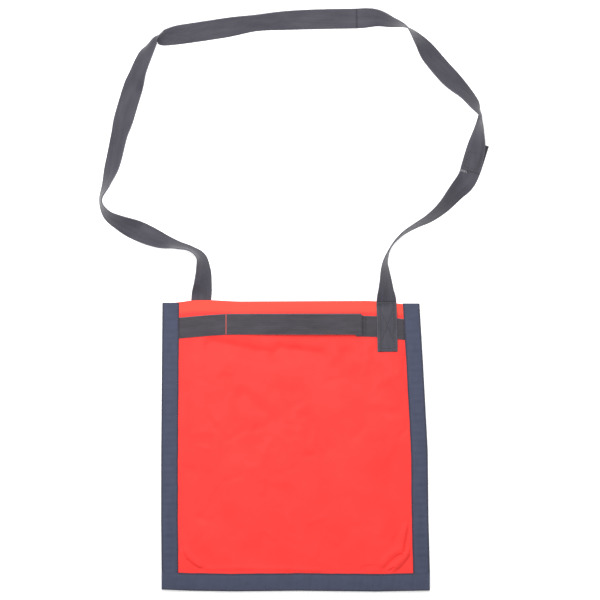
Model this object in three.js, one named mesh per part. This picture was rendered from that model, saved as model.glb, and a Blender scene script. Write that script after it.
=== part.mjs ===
// A flat cloth tote bag with one long shoulder strap, laid front up on a flat surface.
// Millimetres. X runs across the bag, Y from its bottom to its mouth, Z up from the surface.
// Every piece is a strip or panel of cloth, so every solid is two skins joined round the rim.
import * as THREE from "three";

const { clamp, degToRad, lerp, smoothstep } = THREE.MathUtils;

// Cloth, tape and webbing
const CLOTH_THICK = 1.0;
const TAPE_THICK = 1.0;
const SIDE_TAPE_WIDTH = 20.8;
const BOTTOM_TAPE_WIDTH = 21.9;
const TAPE_BEND_RADIUS = 0.25;
const TAPE_LAP_SLOPE = 20;
const WEBBING_THICK = 1.5;
const WEBBING_WIDTH = 25;
const BAND_WIDTH = 26;
const GAP = 0.3;

// Outer edges of the bag as it lies, a row for each place where an edge changes direction
const LEFT_EDGE = [
  { y: -361, x: -163.8 },
  { y: -332, x: -164.1 },
  { y: -274, x: -164.6 },
  { y: -186, x: -164.5 },
  { y: -4, x: -163.0 },
];
const RIGHT_EDGE = [
  { y: -361, x: 167.8 },
  { y: -338, x: 168.6 },
  { y: -270, x: 166.8 },
  { y: -186, x: 165.9 },
  { y: -77, x: 160.0 },
  { y: -4, x: 155.6 },
];
const BOTTOM_EDGE = [
  { x: -164, y: -359.0 },
  { x: -128, y: -360.6 },
  { x: -75, y: -361.4 },
  { x: 5, y: -360.6 },
  { x: 103, y: -361.6 },
  { x: 168, y: -360.3 },
];
const MOUTH_EDGE = [
  { x: -163, y: -4.6 },
  { x: -143, y: -2.8 },
  { x: -128, y: -0.6 },
  { x: -103, y: -0.2 },
  { x: -69, y: -2.0 },
  { x: 104, y: -1.2 },
  { x: 128, y: -3.3 },
  { x: 136, y: -4.4 },
  { x: 156, y: -5.8 },
];
const LEFT_TAPE_TOP = -3.5;
const RIGHT_TAPE_TOP = -4.4;

// How far the empty pocket stands open, how much of that is left at the mouth, and how squarely
// it swells: the powers flatten its middle, steepen its rise and delay its fall
const POCKET_DEPTH = 9.0;
const MOUTH_SHARE = 0.8;
const ARCH_POWER = 3;
const RISE_POWER = 3;
const SETTLE_POWER = 4;
const HEM_DEPTH = 17;

// Level of the lowest cloth, and the stretch over which it climbs onto the bottom tape
const BACK_LEVEL = WEBBING_THICK + GAP;
const BACK_LEVEL_AT_BOTTOM = 2 * (TAPE_THICK + GAP);
const CLIMB_START_Y = -258;
const CLIMB_END_Y = -338;

// Folds of the front panel: ridges in its bottom corners and dents, with heights below zero, under
// the band. Each runs along a straight line, and all fade out towards the tapes.
const FOLDS = [
  { x0: 121.5, y0: -334, x1: 140, y1: -315, height: 2.2, spread: 5.5 },
  { x0: 143, y0: -309, x1: 143, y1: -285, height: 1.3, spread: 4.5 },
  { x0: -136, y0: -312, x1: -118, y1: -330, height: 1.8, spread: 4.5 },
  { x0: -104, y0: -50, x1: -21, y1: -65, height: -1.1, spread: 8 },
  { x0: -16, y0: -59, x1: 35, y1: -65, height: -1.1, spread: 8 },
  { x0: -64, y0: -114, x1: -30, y1: -143, height: -1.2, spread: 13 },
  { x0: 20, y0: -145, x1: 39, y1: -180, height: -1.2, spread: 13 },
];
const FOLD_FADE = 8;

// The webbing band across the front: its middle line, its free stretch and the tuck at the right
const BAND_LEFT_PART = [
  { x: -143, y: -35.1 },
  { x: -108, y: -31.9 },
  { x: -85, y: -30.4 },
  { x: -64, y: -30.2 },
  { x: 90, y: -30.2 },
];
const BAND_RIGHT_PART = [
  { x: 78, y: -32.3 },
  { x: 102, y: -33.1 },
  { x: 128, y: -35.7 },
  { x: 137, y: -36.9 },
];
const HANDLE_LEFT_X = -84;
const HANDLE_RISE = 4.5;
const TUCK_LEFT_X = 78;
const TUCK_RIGHT_X = 83.2;
const TUCK_LAYER = WEBBING_THICK + GAP;

// Route of the shoulder strap, from the end sewn behind the bag to the end on its front.
// bank turns the webbing about its length: 0 and 180 lie flat, 90 stands on its left edge.
// curl rolls it across its width, away from its face or, below zero, towards it. lift is the height
// of its lowest point over what it lies on, which on_bag makes the front panel. A column that a row
// leaves out is 0.
const LONG_STRAP = [
  { x: -114.8, y: -62, bank: 0 },
  { x: -114.8, y: 0.5, bank: 0 },
  { x: -112.8, y: 19.5, bank: -26 },
  { x: -112.2, y: 37, bank: -43 },
  { x: -115.9, y: 52.8, bank: -62, curl: -20 },
  { x: -128.8, y: 61.6, bank: -75, curl: -45 },
  { x: -144.8, y: 66.4, bank: -66, curl: -40 },
  { x: -166, y: 74, bank: -35 },
  { x: -191, y: 84.5, bank: 0 },
  { x: -213, y: 94, bank: 38 },
  { x: -231.3, y: 105.4, bank: 64 },
  { x: -239.4, y: 122.5, bank: 83 },
  { x: -232.6, y: 143, bank: 66 },
  { x: -224.6, y: 168, bank: 40 },
  { x: -216.6, y: 203, bank: 33 },
  { x: -209.2, y: 230.5, bank: 5 },
  { x: -201.1, y: 257.5, bank: 5 },
  { x: -193.2, y: 281.5, bank: 34 },
  { x: -184.3, y: 304, bank: 46, curl: 20 },
  { x: -173, y: 325, bank: 90, curl: 150 },
  { x: -160, y: 326.4, bank: 143, curl: 60 },
  { x: -135, y: 329.6, bank: 165 },
  { x: -91.5, y: 336.1, bank: 167 },
  { x: -47, y: 342.9, bank: 144 },
  { x: -11, y: 346, bank: 159 },
  { x: 27.5, y: 347.7, bank: 172 },
  { x: 76, y: 348.7, bank: 178 },
  { x: 102, y: 349.2, bank: 148 },
  { x: 120, y: 344.2, bank: 120 },
  { x: 139.9, y: 337.7, bank: 90 },
  { x: 155.1, y: 322, bank: 56 },
  { x: 170.2, y: 301.6, bank: 23 },
  { x: 190.3, y: 278.2, bank: 18 },
  { x: 213.2, y: 255.5, bank: 47 },
  { x: 223.6, y: 242.4, bank: 58 },
  { x: 232, y: 229, bank: 91, curl: 60, lift: 0.5 },
  { x: 228.3, y: 205.5, bank: 126, lift: 2.0 },
  { x: 225.2, y: 186, bank: 160, lift: 2.0 },
  { x: 218.1, y: 159, bank: 180, lift: 1.8 },
];
const SHORT_STRAP = [
  { x: 230, y: 194, bank: 0 },
  { x: 218.4, y: 158.5, bank: 0 },
  { x: 212.4, y: 146.5, bank: 8 },
  { x: 200.6, y: 133, bank: 33 },
  { x: 184.8, y: 114.9, bank: 53 },
  { x: 168.3, y: 101.5, bank: 66 },
  { x: 150.3, y: 91.6, bank: 77 },
  { x: 134.5, y: 81.5, bank: 83 },
  { x: 120.5, y: 66, bank: 88 },
  { x: 113.2, y: 47, bank: 77 },
  { x: 112.9, y: 36.5, bank: 65 },
  { x: 113.7, y: 23, bank: 52, on_bag: 0.2 },
  { x: 114, y: 12, bank: 38, on_bag: 0.6 },
  { x: 114.5, y: 1, bank: 14, on_bag: 1 },
  { x: 114.8, y: -10, bank: 0, lift: 0.2, on_bag: 1 },
  { x: 115.1, y: -19, bank: 0, lift: 1.9, on_bag: 1 },
  { x: 115.6, y: -35, bank: 0, lift: 1.9, on_bag: 1 },
  { x: 115.9, y: -51, bank: 0, lift: 1.9, on_bag: 1 },
  { x: 116.1, y: -64.5, bank: 0, on_bag: 1 },
];

// Fineness of the facets
const SIDE_STRETCH = 40;
const PANEL_STEPS_AT_SIDE = 7;
const PANEL_STEPS_ACROSS = 12;
const BOTTOM_STRETCH = 70;
const PANEL_STEPS_AT_BOTTOM = 12;
const PANEL_STEPS_UP = 16;
const BACK_STEPS = 8;
const HEM_STEPS = 2;
const TAPE_STEPS = 22;
const FOLD_ANGLES = [0, 45, 90];
const BAND_LEFT_STEPS = 6;
const HANDLE_STEPS = 20;
const TUCK_TURN_STEPS = 6;
const BAND_RIGHT_STEPS = 8;
const STRAP_STEPS_PER_ROW = 4;
const BAND_SHARES = [-0.5, 0, 0.5];
const STRAP_SHARES = [-0.5, -0.25, 0, 0.25, 0.5];

// Finishes
const FINISHES = {
  red_cloth: { color: 0xfe4d4b, roughness: 0.7, metalness: 0 },
  navy_tape: { color: 0x565b70, roughness: 0.75, metalness: 0 },
  grey_webbing: { color: 0x5c5961, roughness: 0.7, metalness: 0 },
};

// The value of one column of a table at a place along another, straight between its rows.
function lookUp(rows, along, column, place) {
  let next = 1;
  while (next < rows.length - 1 && place > rows[next][along]) {
    next += 1;
  }
  const before = rows[next - 1];
  const after = rows[next];
  const share = clamp((place - before[along]) / (after[along] - before[along]), 0, 1);
  return lerp(before[column], after[column], share);
}

const leftEdge = (y) => lookUp(LEFT_EDGE, "y", "x", y);
const rightEdge = (y) => lookUp(RIGHT_EDGE, "y", "x", y);
const bottomEdge = (x) => lookUp(BOTTOM_EDGE, "x", "y", x);
const mouthEdge = (x) => lookUp(MOUTH_EDGE, "x", "y", x);

// How far the layers have climbed onto the bottom tape: 0 in the body, 1 at the bottom.
function climb(y) {
  return 1 - smoothstep(y, CLIMB_END_Y, CLIMB_START_Y);
}

function backUnderside(y) {
  return lerp(BACK_LEVEL, BACK_LEVEL_AT_BOTTOM, climb(y));
}

// Inner edges of the tapes beside and below a place.
function tapeEdges(x, y) {
  return {
    left: leftEdge(y) + SIDE_TAPE_WIDTH,
    right: rightEdge(y) - SIDE_TAPE_WIDTH,
    bottom: bottomEdge(x) + BOTTOM_TAPE_WIDTH,
  };
}

// Height of the air in the pocket: pinched along the tapes, fullest in the middle.
function swell(x, y) {
  const { left, right, bottom } = tapeEdges(x, y);
  const across = clamp((x - left) / (right - left), 0, 1);
  const up = clamp((y - bottom) / (mouthEdge(x) - bottom), 0, 1);
  const arch = 1 - Math.abs(2 * across - 1) ** ARCH_POWER;
  const rise = 1 - (1 - up) ** RISE_POWER;
  const settle = 1 - (1 - MOUTH_SHARE) * up ** SETTLE_POWER;
  return POCKET_DEPTH * arch * rise * settle;
}

// Height that the folds add, faded out towards the tapes that hold the cloth.
function foldHeight(x, y) {
  const place = new THREE.Vector3(x, y, 0);
  const nearest = new THREE.Vector3();
  let height = 0;
  for (const fold of FOLDS) {
    const start = new THREE.Vector3(fold.x0, fold.y0, 0);
    const end = new THREE.Vector3(fold.x1, fold.y1, 0);
    new THREE.Line3(start, end).closestPointToPoint(place, true, nearest);
    const away = nearest.distanceTo(place) / fold.spread;
    height += fold.height * Math.exp(-away * away);
  }
  const { left, right, bottom } = tapeEdges(x, y);
  const fromTape = Math.min(x - left, right - x, y - bottom);
  return height * smoothstep(fromTape, 0, FOLD_FADE);
}

function frontUnderside(x, y) {
  return backUnderside(y) + CLOTH_THICK + GAP + swell(x, y) + foldHeight(x, y);
}

function frontTop(x, y) {
  return frontUnderside(x, y) + CLOTH_THICK;
}

// A closed solid between two skins, each a grid of points, joined along their four sides.
function clothSolid(name, finish, outer, inner) {
  const rows = outer.length;
  const columns = outer[0].length;
  const inside = rows * columns;
  const at = (row, column) => row * columns + column;
  const triangles = [];
  const quad = (a, b, c, d) => triangles.push(a, b, c, a, c, d);
  for (let row = 0; row < rows - 1; row += 1) {
    for (let column = 0; column < columns - 1; column += 1) {
      const corners = [at(row, column), at(row, column + 1), at(row + 1, column + 1), at(row + 1, column)];
      quad(...corners);
      quad(...corners.map((corner) => corner + inside).reverse());
    }
  }
  const rim = [];
  for (let column = 0; column < columns - 1; column += 1) {
    rim.push(at(0, column));
  }
  for (let row = 0; row < rows - 1; row += 1) {
    rim.push(at(row, columns - 1));
  }
  for (let column = columns - 1; column > 0; column -= 1) {
    rim.push(at(rows - 1, column));
  }
  for (let row = rows - 1; row > 0; row -= 1) {
    rim.push(at(row, 0));
  }
  rim.forEach((corner, index) => {
    const next = rim[(index + 1) % rim.length];
    quad(next, corner, corner + inside, next + inside);
  });
  const points = [...outer.flat(), ...inner.flat()];
  if (sixfoldVolume(points, triangles) < 0) {
    triangles.reverse();
  }
  const geometry = new THREE.BufferGeometry().setFromPoints(points);
  geometry.setIndex(triangles);
  geometry.computeVertexNormals();
  const mesh = new THREE.Mesh(geometry, new THREE.MeshStandardMaterial(FINISHES[finish]));
  mesh.name = name;
  return mesh;
}

// Six times the volume inside a closed mesh, below zero where its faces point inwards.
function sixfoldVolume(points, triangles) {
  const normal = new THREE.Vector3();
  let sum = 0;
  for (let i = 0; i < triangles.length; i += 3) {
    normal.crossVectors(points[triangles[i + 1]], points[triangles[i + 2]]);
    sum += points[triangles[i]].dot(normal);
  }
  return sum;
}

// Even steps from one value to another, both ends included.
function steps(from, to, count) {
  return Array.from({ length: count + 1 }, (_, index) => lerp(from, to, index / count));
}

// Both panels reach into the fold of the tapes on three sides and end free at the mouth.
const PANEL_INSET = TAPE_THICK + TAPE_BEND_RADIUS + GAP;
const PANEL_WIDTH = rightEdge(CLIMB_START_Y) - leftEdge(CLIMB_START_Y) - 2 * PANEL_INSET;
const PANEL_HEIGHT = mouthEdge(0) - bottomEdge(0) - PANEL_INSET;

function panelPlace(across, up) {
  const nearX = lerp(leftEdge(CLIMB_START_Y), rightEdge(CLIMB_START_Y), across);
  const y = lerp(bottomEdge(nearX) + PANEL_INSET, mouthEdge(nearX), up);
  const x = lerp(leftEdge(y) + PANEL_INSET, rightEdge(y) - PANEL_INSET, across);
  return { x, y };
}

function makeBackPanel() {
  const outer = [];
  const inner = [];
  for (const up of steps(0, 1, BACK_STEPS)) {
    const places = steps(0, 1, BACK_STEPS).map((across) => panelPlace(across, up));
    outer.push(places.map(({ x, y }) => new THREE.Vector3(x, y, backUnderside(y))));
    inner.push(places.map(({ x, y }) => new THREE.Vector3(x, y, backUnderside(y) + CLOTH_THICK)));
  }
  return clothSolid("back_panel", "red_cloth", outer, inner);
}

// Along the mouth the front cloth is turned in once, so that it is twice as thick there.
function makeFrontPanel() {
  const underSideTape = (SIDE_TAPE_WIDTH - PANEL_INSET) / PANEL_WIDTH;
  const underBottomTape = (BOTTOM_TAPE_WIDTH - PANEL_INSET) / PANEL_HEIGHT;
  const hemFold = 1 - HEM_DEPTH / PANEL_HEIGHT;
  const hemEdge = hemFold + CLOTH_THICK / PANEL_HEIGHT;
  const side = underSideTape + SIDE_STRETCH / PANEL_WIDTH;
  const low = underBottomTape + BOTTOM_STRETCH / PANEL_HEIGHT;
  const acrossLines = [
    0,
    ...steps(underSideTape, side, PANEL_STEPS_AT_SIDE),
    ...steps(side, 1 - side, PANEL_STEPS_ACROSS).slice(1),
    ...steps(1 - side, 1 - underSideTape, PANEL_STEPS_AT_SIDE).slice(1),
    1,
  ];
  const upLines = [
    0,
    ...steps(underBottomTape, low, PANEL_STEPS_AT_BOTTOM),
    ...steps(low, hemFold, PANEL_STEPS_UP).slice(1),
    ...steps(hemEdge, 1, HEM_STEPS),
  ];
  const outer = [];
  const inner = [];
  for (const up of upLines) {
    const places = acrossLines.map((across) => panelPlace(across, up));
    const hem = up < hemEdge ? 0 : CLOTH_THICK;
    outer.push(places.map(({ x, y }) => new THREE.Vector3(x, y, frontTop(x, y))));
    inner.push(
      places.map(({ x, y }) => {
        const turnedIn = hem * smoothstep(swell(x, y), CLOTH_THICK, 2 * CLOTH_THICK);
        return new THREE.Vector3(x, y, frontUnderside(x, y) - turnedIn);
      }),
    );
  }
  return clothSolid("front_panel", "red_cloth", outer, inner);
}

// Section of a tape folded round an edge, from the edge of its front leg to that of its back leg.
function foldSection(width, backLow, frontLow, place) {
  const bend = TAPE_THICK + TAPE_BEND_RADIUS;
  const turns = [
    { level: frontLow - TAPE_BEND_RADIUS, from: 90 },
    { level: backLow + bend, from: 180 },
  ];
  const outer = [place(width, frontLow + TAPE_THICK)];
  const inner = [place(width, frontLow)];
  for (const turn of turns) {
    for (const angle of FOLD_ANGLES) {
      const inward = Math.cos(degToRad(turn.from + angle));
      const upward = Math.sin(degToRad(turn.from + angle));
      outer.push(place(bend + bend * inward, turn.level + bend * upward));
      inner.push(place(bend + TAPE_BEND_RADIUS * inward, turn.level + TAPE_BEND_RADIUS * upward));
    }
  }
  outer.push(place(width, backLow));
  inner.push(place(width, backLow + TAPE_THICK));
  return { outer, inner };
}

function makeTape(name, sections) {
  return clothSolid(
    name,
    "navy_tape",
    sections.map((section) => section.outer),
    sections.map((section) => section.inner),
  );
}

function makeSideTape(name, edge, inwards, top) {
  const bottom = bottomEdge(edge(CLIMB_END_Y)) + PANEL_INSET;
  const sections = steps(bottom, top, TAPE_STEPS).map((y) => {
    const backLow = (TAPE_THICK + GAP) * climb(y);
    const frontLow = backUnderside(y) + 2 * (CLOTH_THICK + GAP);
    const place = (depth, z) => new THREE.Vector3(edge(y) + inwards * depth, y, z);
    return foldSection(SIDE_TAPE_WIDTH, backLow, frontLow, place);
  });
  return makeTape(name, sections);
}

// The bottom tape runs over the lower ends of the side tapes, so its front leg slopes up to them.
function makeBottomTape() {
  const left = leftEdge(CLIMB_END_Y);
  const right = rightEdge(CLIMB_END_Y);
  const sections = steps(left, right, TAPE_STEPS).map((x) => {
    const fromSide = Math.min(x - left, right - x);
    const overSideTape = 1 - smoothstep(fromSide, SIDE_TAPE_WIDTH + GAP, SIDE_TAPE_WIDTH + TAPE_LAP_SLOPE);
    const onPanels = BACK_LEVEL_AT_BOTTOM + 2 * (CLOTH_THICK + GAP);
    const frontLow = onPanels + (TAPE_THICK + GAP) * overSideTape;
    const place = (depth, z) => new THREE.Vector3(x, bottomEdge(x) + depth, z);
    return foldSection(BOTTOM_TAPE_WIDTH, 0, frontLow, place);
  });
  return makeTape("binding_bottom", sections);
}

// Where the front band's ends are cut, along the inner edges of the side tapes
const bandLeftEnd = (y) => leftEdge(y) + SIDE_TAPE_WIDTH + GAP;
const bandRightEnd = (y) => rightEdge(y) - SIDE_TAPE_WIDTH - GAP;

// Path of the front band seen from its lower edge: sewn flat, arched free as a handle,
// tucked back under itself once, and sewn flat again.
function bandPath() {
  const leftEnd = bandLeftEnd(BAND_LEFT_PART[0].y);
  const rightEnd = bandRightEnd(BAND_RIGHT_PART.at(-1).y);
  const leftY = (x) => lookUp(BAND_LEFT_PART, "x", "y", x);
  const rightY = (x) => lookUp(BAND_RIGHT_PART, "x", "y", x);
  const middleY = (leftY(TUCK_RIGHT_X) + rightY(TUCK_RIGHT_X)) / 2;
  const top = 2 * TUCK_LAYER;
  const radius = TUCK_LAYER / 2;
  const path = steps(leftEnd, HANDLE_LEFT_X, BAND_LEFT_STEPS).map((x) => ({ x, y: leftY(x), lift: 0 }));
  for (const share of steps(0, 1, HANDLE_STEPS).slice(1)) {
    const x = lerp(HANDLE_LEFT_X, TUCK_RIGHT_X, share);
    const bow = HANDLE_RISE * Math.sin(Math.PI * share) ** 2;
    path.push({ x, y: leftY(x), lift: top * smoothstep(share, 0, 1) + bow });
  }
  const turn = (x, y, level, side) => {
    for (const share of steps(0, 1, TUCK_TURN_STEPS).slice(1)) {
      const angle = Math.PI * share;
      path.push({ x: x + side * radius * Math.sin(angle), y, lift: level + radius * Math.cos(angle) });
    }
  };
  turn(TUCK_RIGHT_X, middleY, top - radius, 1);
  path.push({ x: (TUCK_LEFT_X + TUCK_RIGHT_X) / 2, y: middleY, lift: TUCK_LAYER });
  path.push({ x: TUCK_LEFT_X, y: rightY(TUCK_LEFT_X), lift: TUCK_LAYER });
  turn(TUCK_LEFT_X, rightY(TUCK_LEFT_X), radius, -1);
  for (const x of steps(TUCK_LEFT_X, rightEnd, BAND_RIGHT_STEPS).slice(1)) {
    path.push({ x, y: rightY(x), lift: 0 });
  }
  return path;
}

function makeFrontBand() {
  const path = bandPath();
  const outer = [];
  const inner = [];
  path.forEach((here, index) => {
    const before = path[Math.max(index - 1, 0)];
    const after = path[Math.min(index + 1, path.length - 1)];
    const run = new THREE.Vector2(after.x - before.x, after.lift - before.lift).normalize();
    const half = WEBBING_THICK / 2;
    const cutAt = { 0: bandLeftEnd, [path.length - 1]: bandRightEnd }[index];
    const topRow = [];
    const underRow = [];
    for (const share of BAND_SHARES) {
      const y = here.y + share * BAND_WIDTH;
      const x = cutAt ? cutAt(y) : here.x;
      const level = frontTop(x, y) + GAP + half + here.lift;
      topRow.push(new THREE.Vector3(x - half * run.y, y, level + half * run.x));
      underRow.push(new THREE.Vector3(x + half * run.y, y, level - half * run.x));
    }
    outer.push(topRow);
    inner.push(underRow);
  });
  return clothSolid("front_band", "grey_webbing", outer, inner);
}

// A column's value a share of the way down a table, smooth and never past its rows' own values.
function smoothColumn(rows, column, share) {
  const last = rows.length - 1;
  const index = Math.min(Math.floor(share * last), last - 1);
  const part = share * last - index;
  const value = (row) => rows[clamp(row, 0, last)][column] ?? 0;
  const slope = (row) => {
    const before = value(row) - value(row - 1);
    const after = value(row + 1) - value(row);
    return before * after > 0 ? (2 * before * after) / (before + after) : 0;
  };
  const even = lerp(value(index), value(index + 1), smoothstep(part, 0, 1));
  return even + part * (1 - part) * (slope(index) * (1 - part) - slope(index + 1) * part);
}

// Webbing along a route, turned about its length, curled across it and resting on its lowest point.
function makeStrap(name, rows) {
  const route = new THREE.CatmullRomCurve3(rows.map((row) => new THREE.Vector3(row.x, row.y, 0)));
  const outer = [];
  const inner = [];
  for (const share of steps(0, 1, (rows.length - 1) * STRAP_STEPS_PER_ROW)) {
    const middle = route.getPoint(share);
    const heading = route.getTangent(share);
    const bank = degToRad(smoothColumn(rows, "bank", share));
    const curl = degToRad(smoothColumn(rows, "curl", share));
    const right = new THREE.Vector3(heading.y, -heading.x, 0);
    const across = right.clone().multiplyScalar(Math.cos(bank)).setZ(Math.sin(bank));
    const through = right.clone().multiplyScalar(-Math.sin(bank)).setZ(Math.cos(bank));
    const overRow = [];
    const underRow = [];
    for (const place of STRAP_SHARES) {
      const turned = curl * place;
      const sideways = curl === 0 ? place : Math.sin(turned) / curl;
      const drop = curl === 0 ? 0 : (1 - Math.cos(turned)) / curl;
      const point = middle.clone();
      point.addScaledVector(across, WEBBING_WIDTH * sideways);
      point.addScaledVector(through, -WEBBING_WIDTH * drop);
      const face = through.clone().multiplyScalar(Math.cos(turned));
      face.addScaledVector(across, Math.sin(turned));
      overRow.push(point.clone().addScaledVector(face, WEBBING_THICK / 2));
      underRow.push(point.clone().addScaledVector(face, -WEBBING_THICK / 2));
    }
    const lowest = Math.min(...overRow.concat(underRow).map((point) => point.z));
    const rise = smoothColumn(rows, "lift", share) - lowest;
    const onBag = smoothColumn(rows, "on_bag", share);
    for (const point of overRow.concat(underRow)) {
      point.z += rise + onBag * (frontTop(point.x, point.y) + GAP);
    }
    outer.push(overRow);
    inner.push(underRow);
  }
  return clothSolid(name, "grey_webbing", outer, inner);
}

const toteBag = new THREE.Group();
toteBag.add(makeBackPanel());
toteBag.add(makeFrontPanel());
toteBag.add(makeSideTape("binding_left", leftEdge, 1, LEFT_TAPE_TOP));
toteBag.add(makeSideTape("binding_right", rightEdge, -1, RIGHT_TAPE_TOP));
toteBag.add(makeBottomTape());
toteBag.add(makeFrontBand());
toteBag.add(makeStrap("shoulder_strap_long", LONG_STRAP));
toteBag.add(makeStrap("shoulder_strap_short", SHORT_STRAP));

export default toteBag;
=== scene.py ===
# %% [markdown]
# # A flat tote bag with a webbing shoulder strap
#
# This lesson dresses a cloth tote bag that lies front up on a table. The bag is two red panels,
# bound on three sides with a slate blue tape that is folded round their edges. A band of grey
# webbing crosses the front and stands free in the middle as a grab handle. One long strap of the
# same webbing lies in a loose loop above the mouth.
#
# The solid pieces come first, as a fixed frame at real size, in metres. Each piece made below
# stands where its solid is, so nothing has to be fitted afterwards.

# %% Load the frame
import math

import bpy
import numpy as np
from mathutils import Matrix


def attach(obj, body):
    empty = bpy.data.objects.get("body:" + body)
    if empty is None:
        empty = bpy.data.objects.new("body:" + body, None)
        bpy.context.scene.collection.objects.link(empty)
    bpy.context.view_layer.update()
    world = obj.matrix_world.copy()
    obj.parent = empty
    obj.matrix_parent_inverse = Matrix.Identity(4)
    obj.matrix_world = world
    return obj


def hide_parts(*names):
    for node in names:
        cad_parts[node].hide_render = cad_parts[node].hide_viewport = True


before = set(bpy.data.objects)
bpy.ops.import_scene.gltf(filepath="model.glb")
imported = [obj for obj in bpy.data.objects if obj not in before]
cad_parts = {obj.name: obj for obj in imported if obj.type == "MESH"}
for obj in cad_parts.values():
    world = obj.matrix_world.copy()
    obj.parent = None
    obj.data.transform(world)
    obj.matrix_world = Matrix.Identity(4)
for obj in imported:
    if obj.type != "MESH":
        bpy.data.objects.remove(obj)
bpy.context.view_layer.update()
print("solids in the frame:", ", ".join(sorted(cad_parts)))

# %% [markdown]
# ## Camera
#
# The bag is seen straight from above. Webbing of this kind is sold 25 mm wide and covers about 20
# pixels, which makes a pixel 1.24 mm. A camera could stand close with a short lens, but then the
# raised stretches of the strap would spread outwards. A long lens far away keeps every edge where
# a plan drawing has it.

# %% Place the camera
MM = 0.001
PICTURE_PIXELS = 600
MM_PER_PIXEL = 1.24
ORIGIN_PIXEL_X = 293.9
ORIGIN_PIXEL_Y = 299.8
LENS_MM = 400
SENSOR_MM = 36

picture_width = PICTURE_PIXELS * MM_PER_PIXEL * MM
camera_height = picture_width * LENS_MM / SENSOR_MM
camera_data = bpy.data.cameras.new("camera_above")
camera_data.lens = LENS_MM
camera_data.sensor_width = SENSOR_MM
camera_data.clip_end = 2 * camera_height
camera = bpy.data.objects.new("camera_above", camera_data)
camera.location = (
    (PICTURE_PIXELS / 2 - ORIGIN_PIXEL_X) * MM_PER_PIXEL * MM,
    (ORIGIN_PIXEL_Y - PICTURE_PIXELS / 2) * MM_PER_PIXEL * MM,
    camera_height,
)
bpy.context.scene.collection.objects.link(camera)
bpy.context.scene.camera = camera
print(f"camera {camera_height:.2f} m up, picture {picture_width:.3f} m wide")

# %% [markdown]
# ## Colours and nodes
#
# Colours are easiest to pick as the hex values that a screen shows, but shaders add and multiply
# light, which needs linear numbers. One function turns the first into the second. Another adds a
# node to a material with its settings and links, so that each material below reads as a list of
# what it is made of.

# %% Colour and node helpers
def linear(hex_colour):
    """A screen colour such as #ff8800 as the linear red, green, blue and alpha of a socket."""
    screen = [int(hex_colour[start:start + 2], 16) / 255 for start in (1, 3, 5)]
    light = [c / 12.92 if c <= 0.04045 else ((c + 0.055) / 1.055) ** 2.4 for c in screen]
    return (*light, 1.0)


def add_node(material, kind, settings, links):
    """Adds one node. Settings are properties or sockets, links go from its sockets to outputs."""
    node = material.node_tree.nodes.new(kind)
    for name, value in settings.items():
        if isinstance(name, str) and hasattr(node, name):
            setattr(node, name, value)
        else:
            node.inputs[name].default_value = value
    for name, output in links.items():
        material.node_tree.links.new(output, node.inputs[name])
    return node


def start_material(name):
    """A new material, its surface shader, and the thread map that its patterns are drawn on."""
    material = bpy.data.materials.new(name)
    material.use_nodes = True
    surface = material.node_tree.nodes["Principled BSDF"]
    thread_map = add_node(material, "ShaderNodeUVMap", {"uv_map": "thread_map"}, {})
    return material, surface, thread_map.outputs["UV"]


def set_sockets(surface, values):
    """Sets numbers and colours that are the same all over the surface."""
    for name, value in values.items():
        surface.inputs[name].default_value = value


SCREEN_RED = "#fe4d4b"
print(SCREEN_RED, "on the screen is in light", [round(c, 3) for c in linear(SCREEN_RED)[:3]])

# %% [markdown]
# ## Floor
#
# The bag lies on a sheet of white acrylic of the kind that studios light from below, matt and evenly
# bright. White paint alone would turn grey in the bag's shadow, so the sheet also glows a little. It
# lies a hair below the tapes, because two faces at one height would flicker.

# %% Make the floor
FLOOR_SIZE = 14.0
FLOOR_DROP = 0.4 * MM
FLOOR_GLOW = 0.45

floor_mesh = bpy.data.meshes.new("table_top")
half = FLOOR_SIZE / 2
floor_corners = [(-half, -half, 0), (half, -half, 0), (half, half, 0), (-half, half, 0)]
floor_mesh.from_pydata(floor_corners, [], [(0, 1, 2, 3)])
floor = bpy.data.objects.new("table_top", floor_mesh)
floor.location.z = -FLOOR_DROP
bpy.context.scene.collection.objects.link(floor)
floor_sheet = bpy.data.materials.new("lit_white_acrylic")
floor_sheet.use_nodes = True
set_sockets(
    floor_sheet.node_tree.nodes["Principled BSDF"],
    {
        "Base Color": linear("#f8f8f8"),
        "Roughness": 0.8,
        "Specular IOR Level": 0.2,
        "Emission Color": linear("#ffffff"),
        "Emission Strength": FLOOR_GLOW,
    },
)
floor_mesh.materials.append(floor_sheet)
print("floor", FLOOR_SIZE, "m wide")

# %% [markdown]
# ## Light
#
# A white sky alone would light the bag evenly, but it would also flatten every fold. So the sky is
# brighter beyond the mouth and to the left, which gives each fold a lighter and a darker side. A
# very large lamp above the strap's loop lets the bag grow darker towards its bottom.

# %% Make the sky and the lamp
SKY_DARKEST = 0.26
SKY_BRIGHTEST = 0.76
BRIGHT_SIDE = (-0.7, 0.7, 0.0)
LAMP_PLACE = (-0.1, 0.35, 0.95)
LAMP_SIZE = 1.1
LAMP_WATTS = 15.8

sky = bpy.data.worlds.new("white_sky")
sky.use_nodes = True
background = sky.node_tree.nodes["Background"]
background.inputs["Color"].default_value = linear("#ffffff")
direction = add_node(sky, "ShaderNodeTexCoord", {}, {})
towards_bright = add_node(
    sky,
    "ShaderNodeVectorMath",
    {"operation": "DOT_PRODUCT", 1: BRIGHT_SIDE},
    {0: direction.outputs["Generated"]},
)
brightness = add_node(
    sky,
    "ShaderNodeMapRange",
    {"From Min": -1.0, "From Max": 1.0, "To Min": SKY_DARKEST, "To Max": SKY_BRIGHTEST},
    {"Value": towards_bright.outputs["Value"]},
)
sky.node_tree.links.new(brightness.outputs["Result"], background.inputs["Strength"])
bpy.context.scene.world = sky

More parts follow.
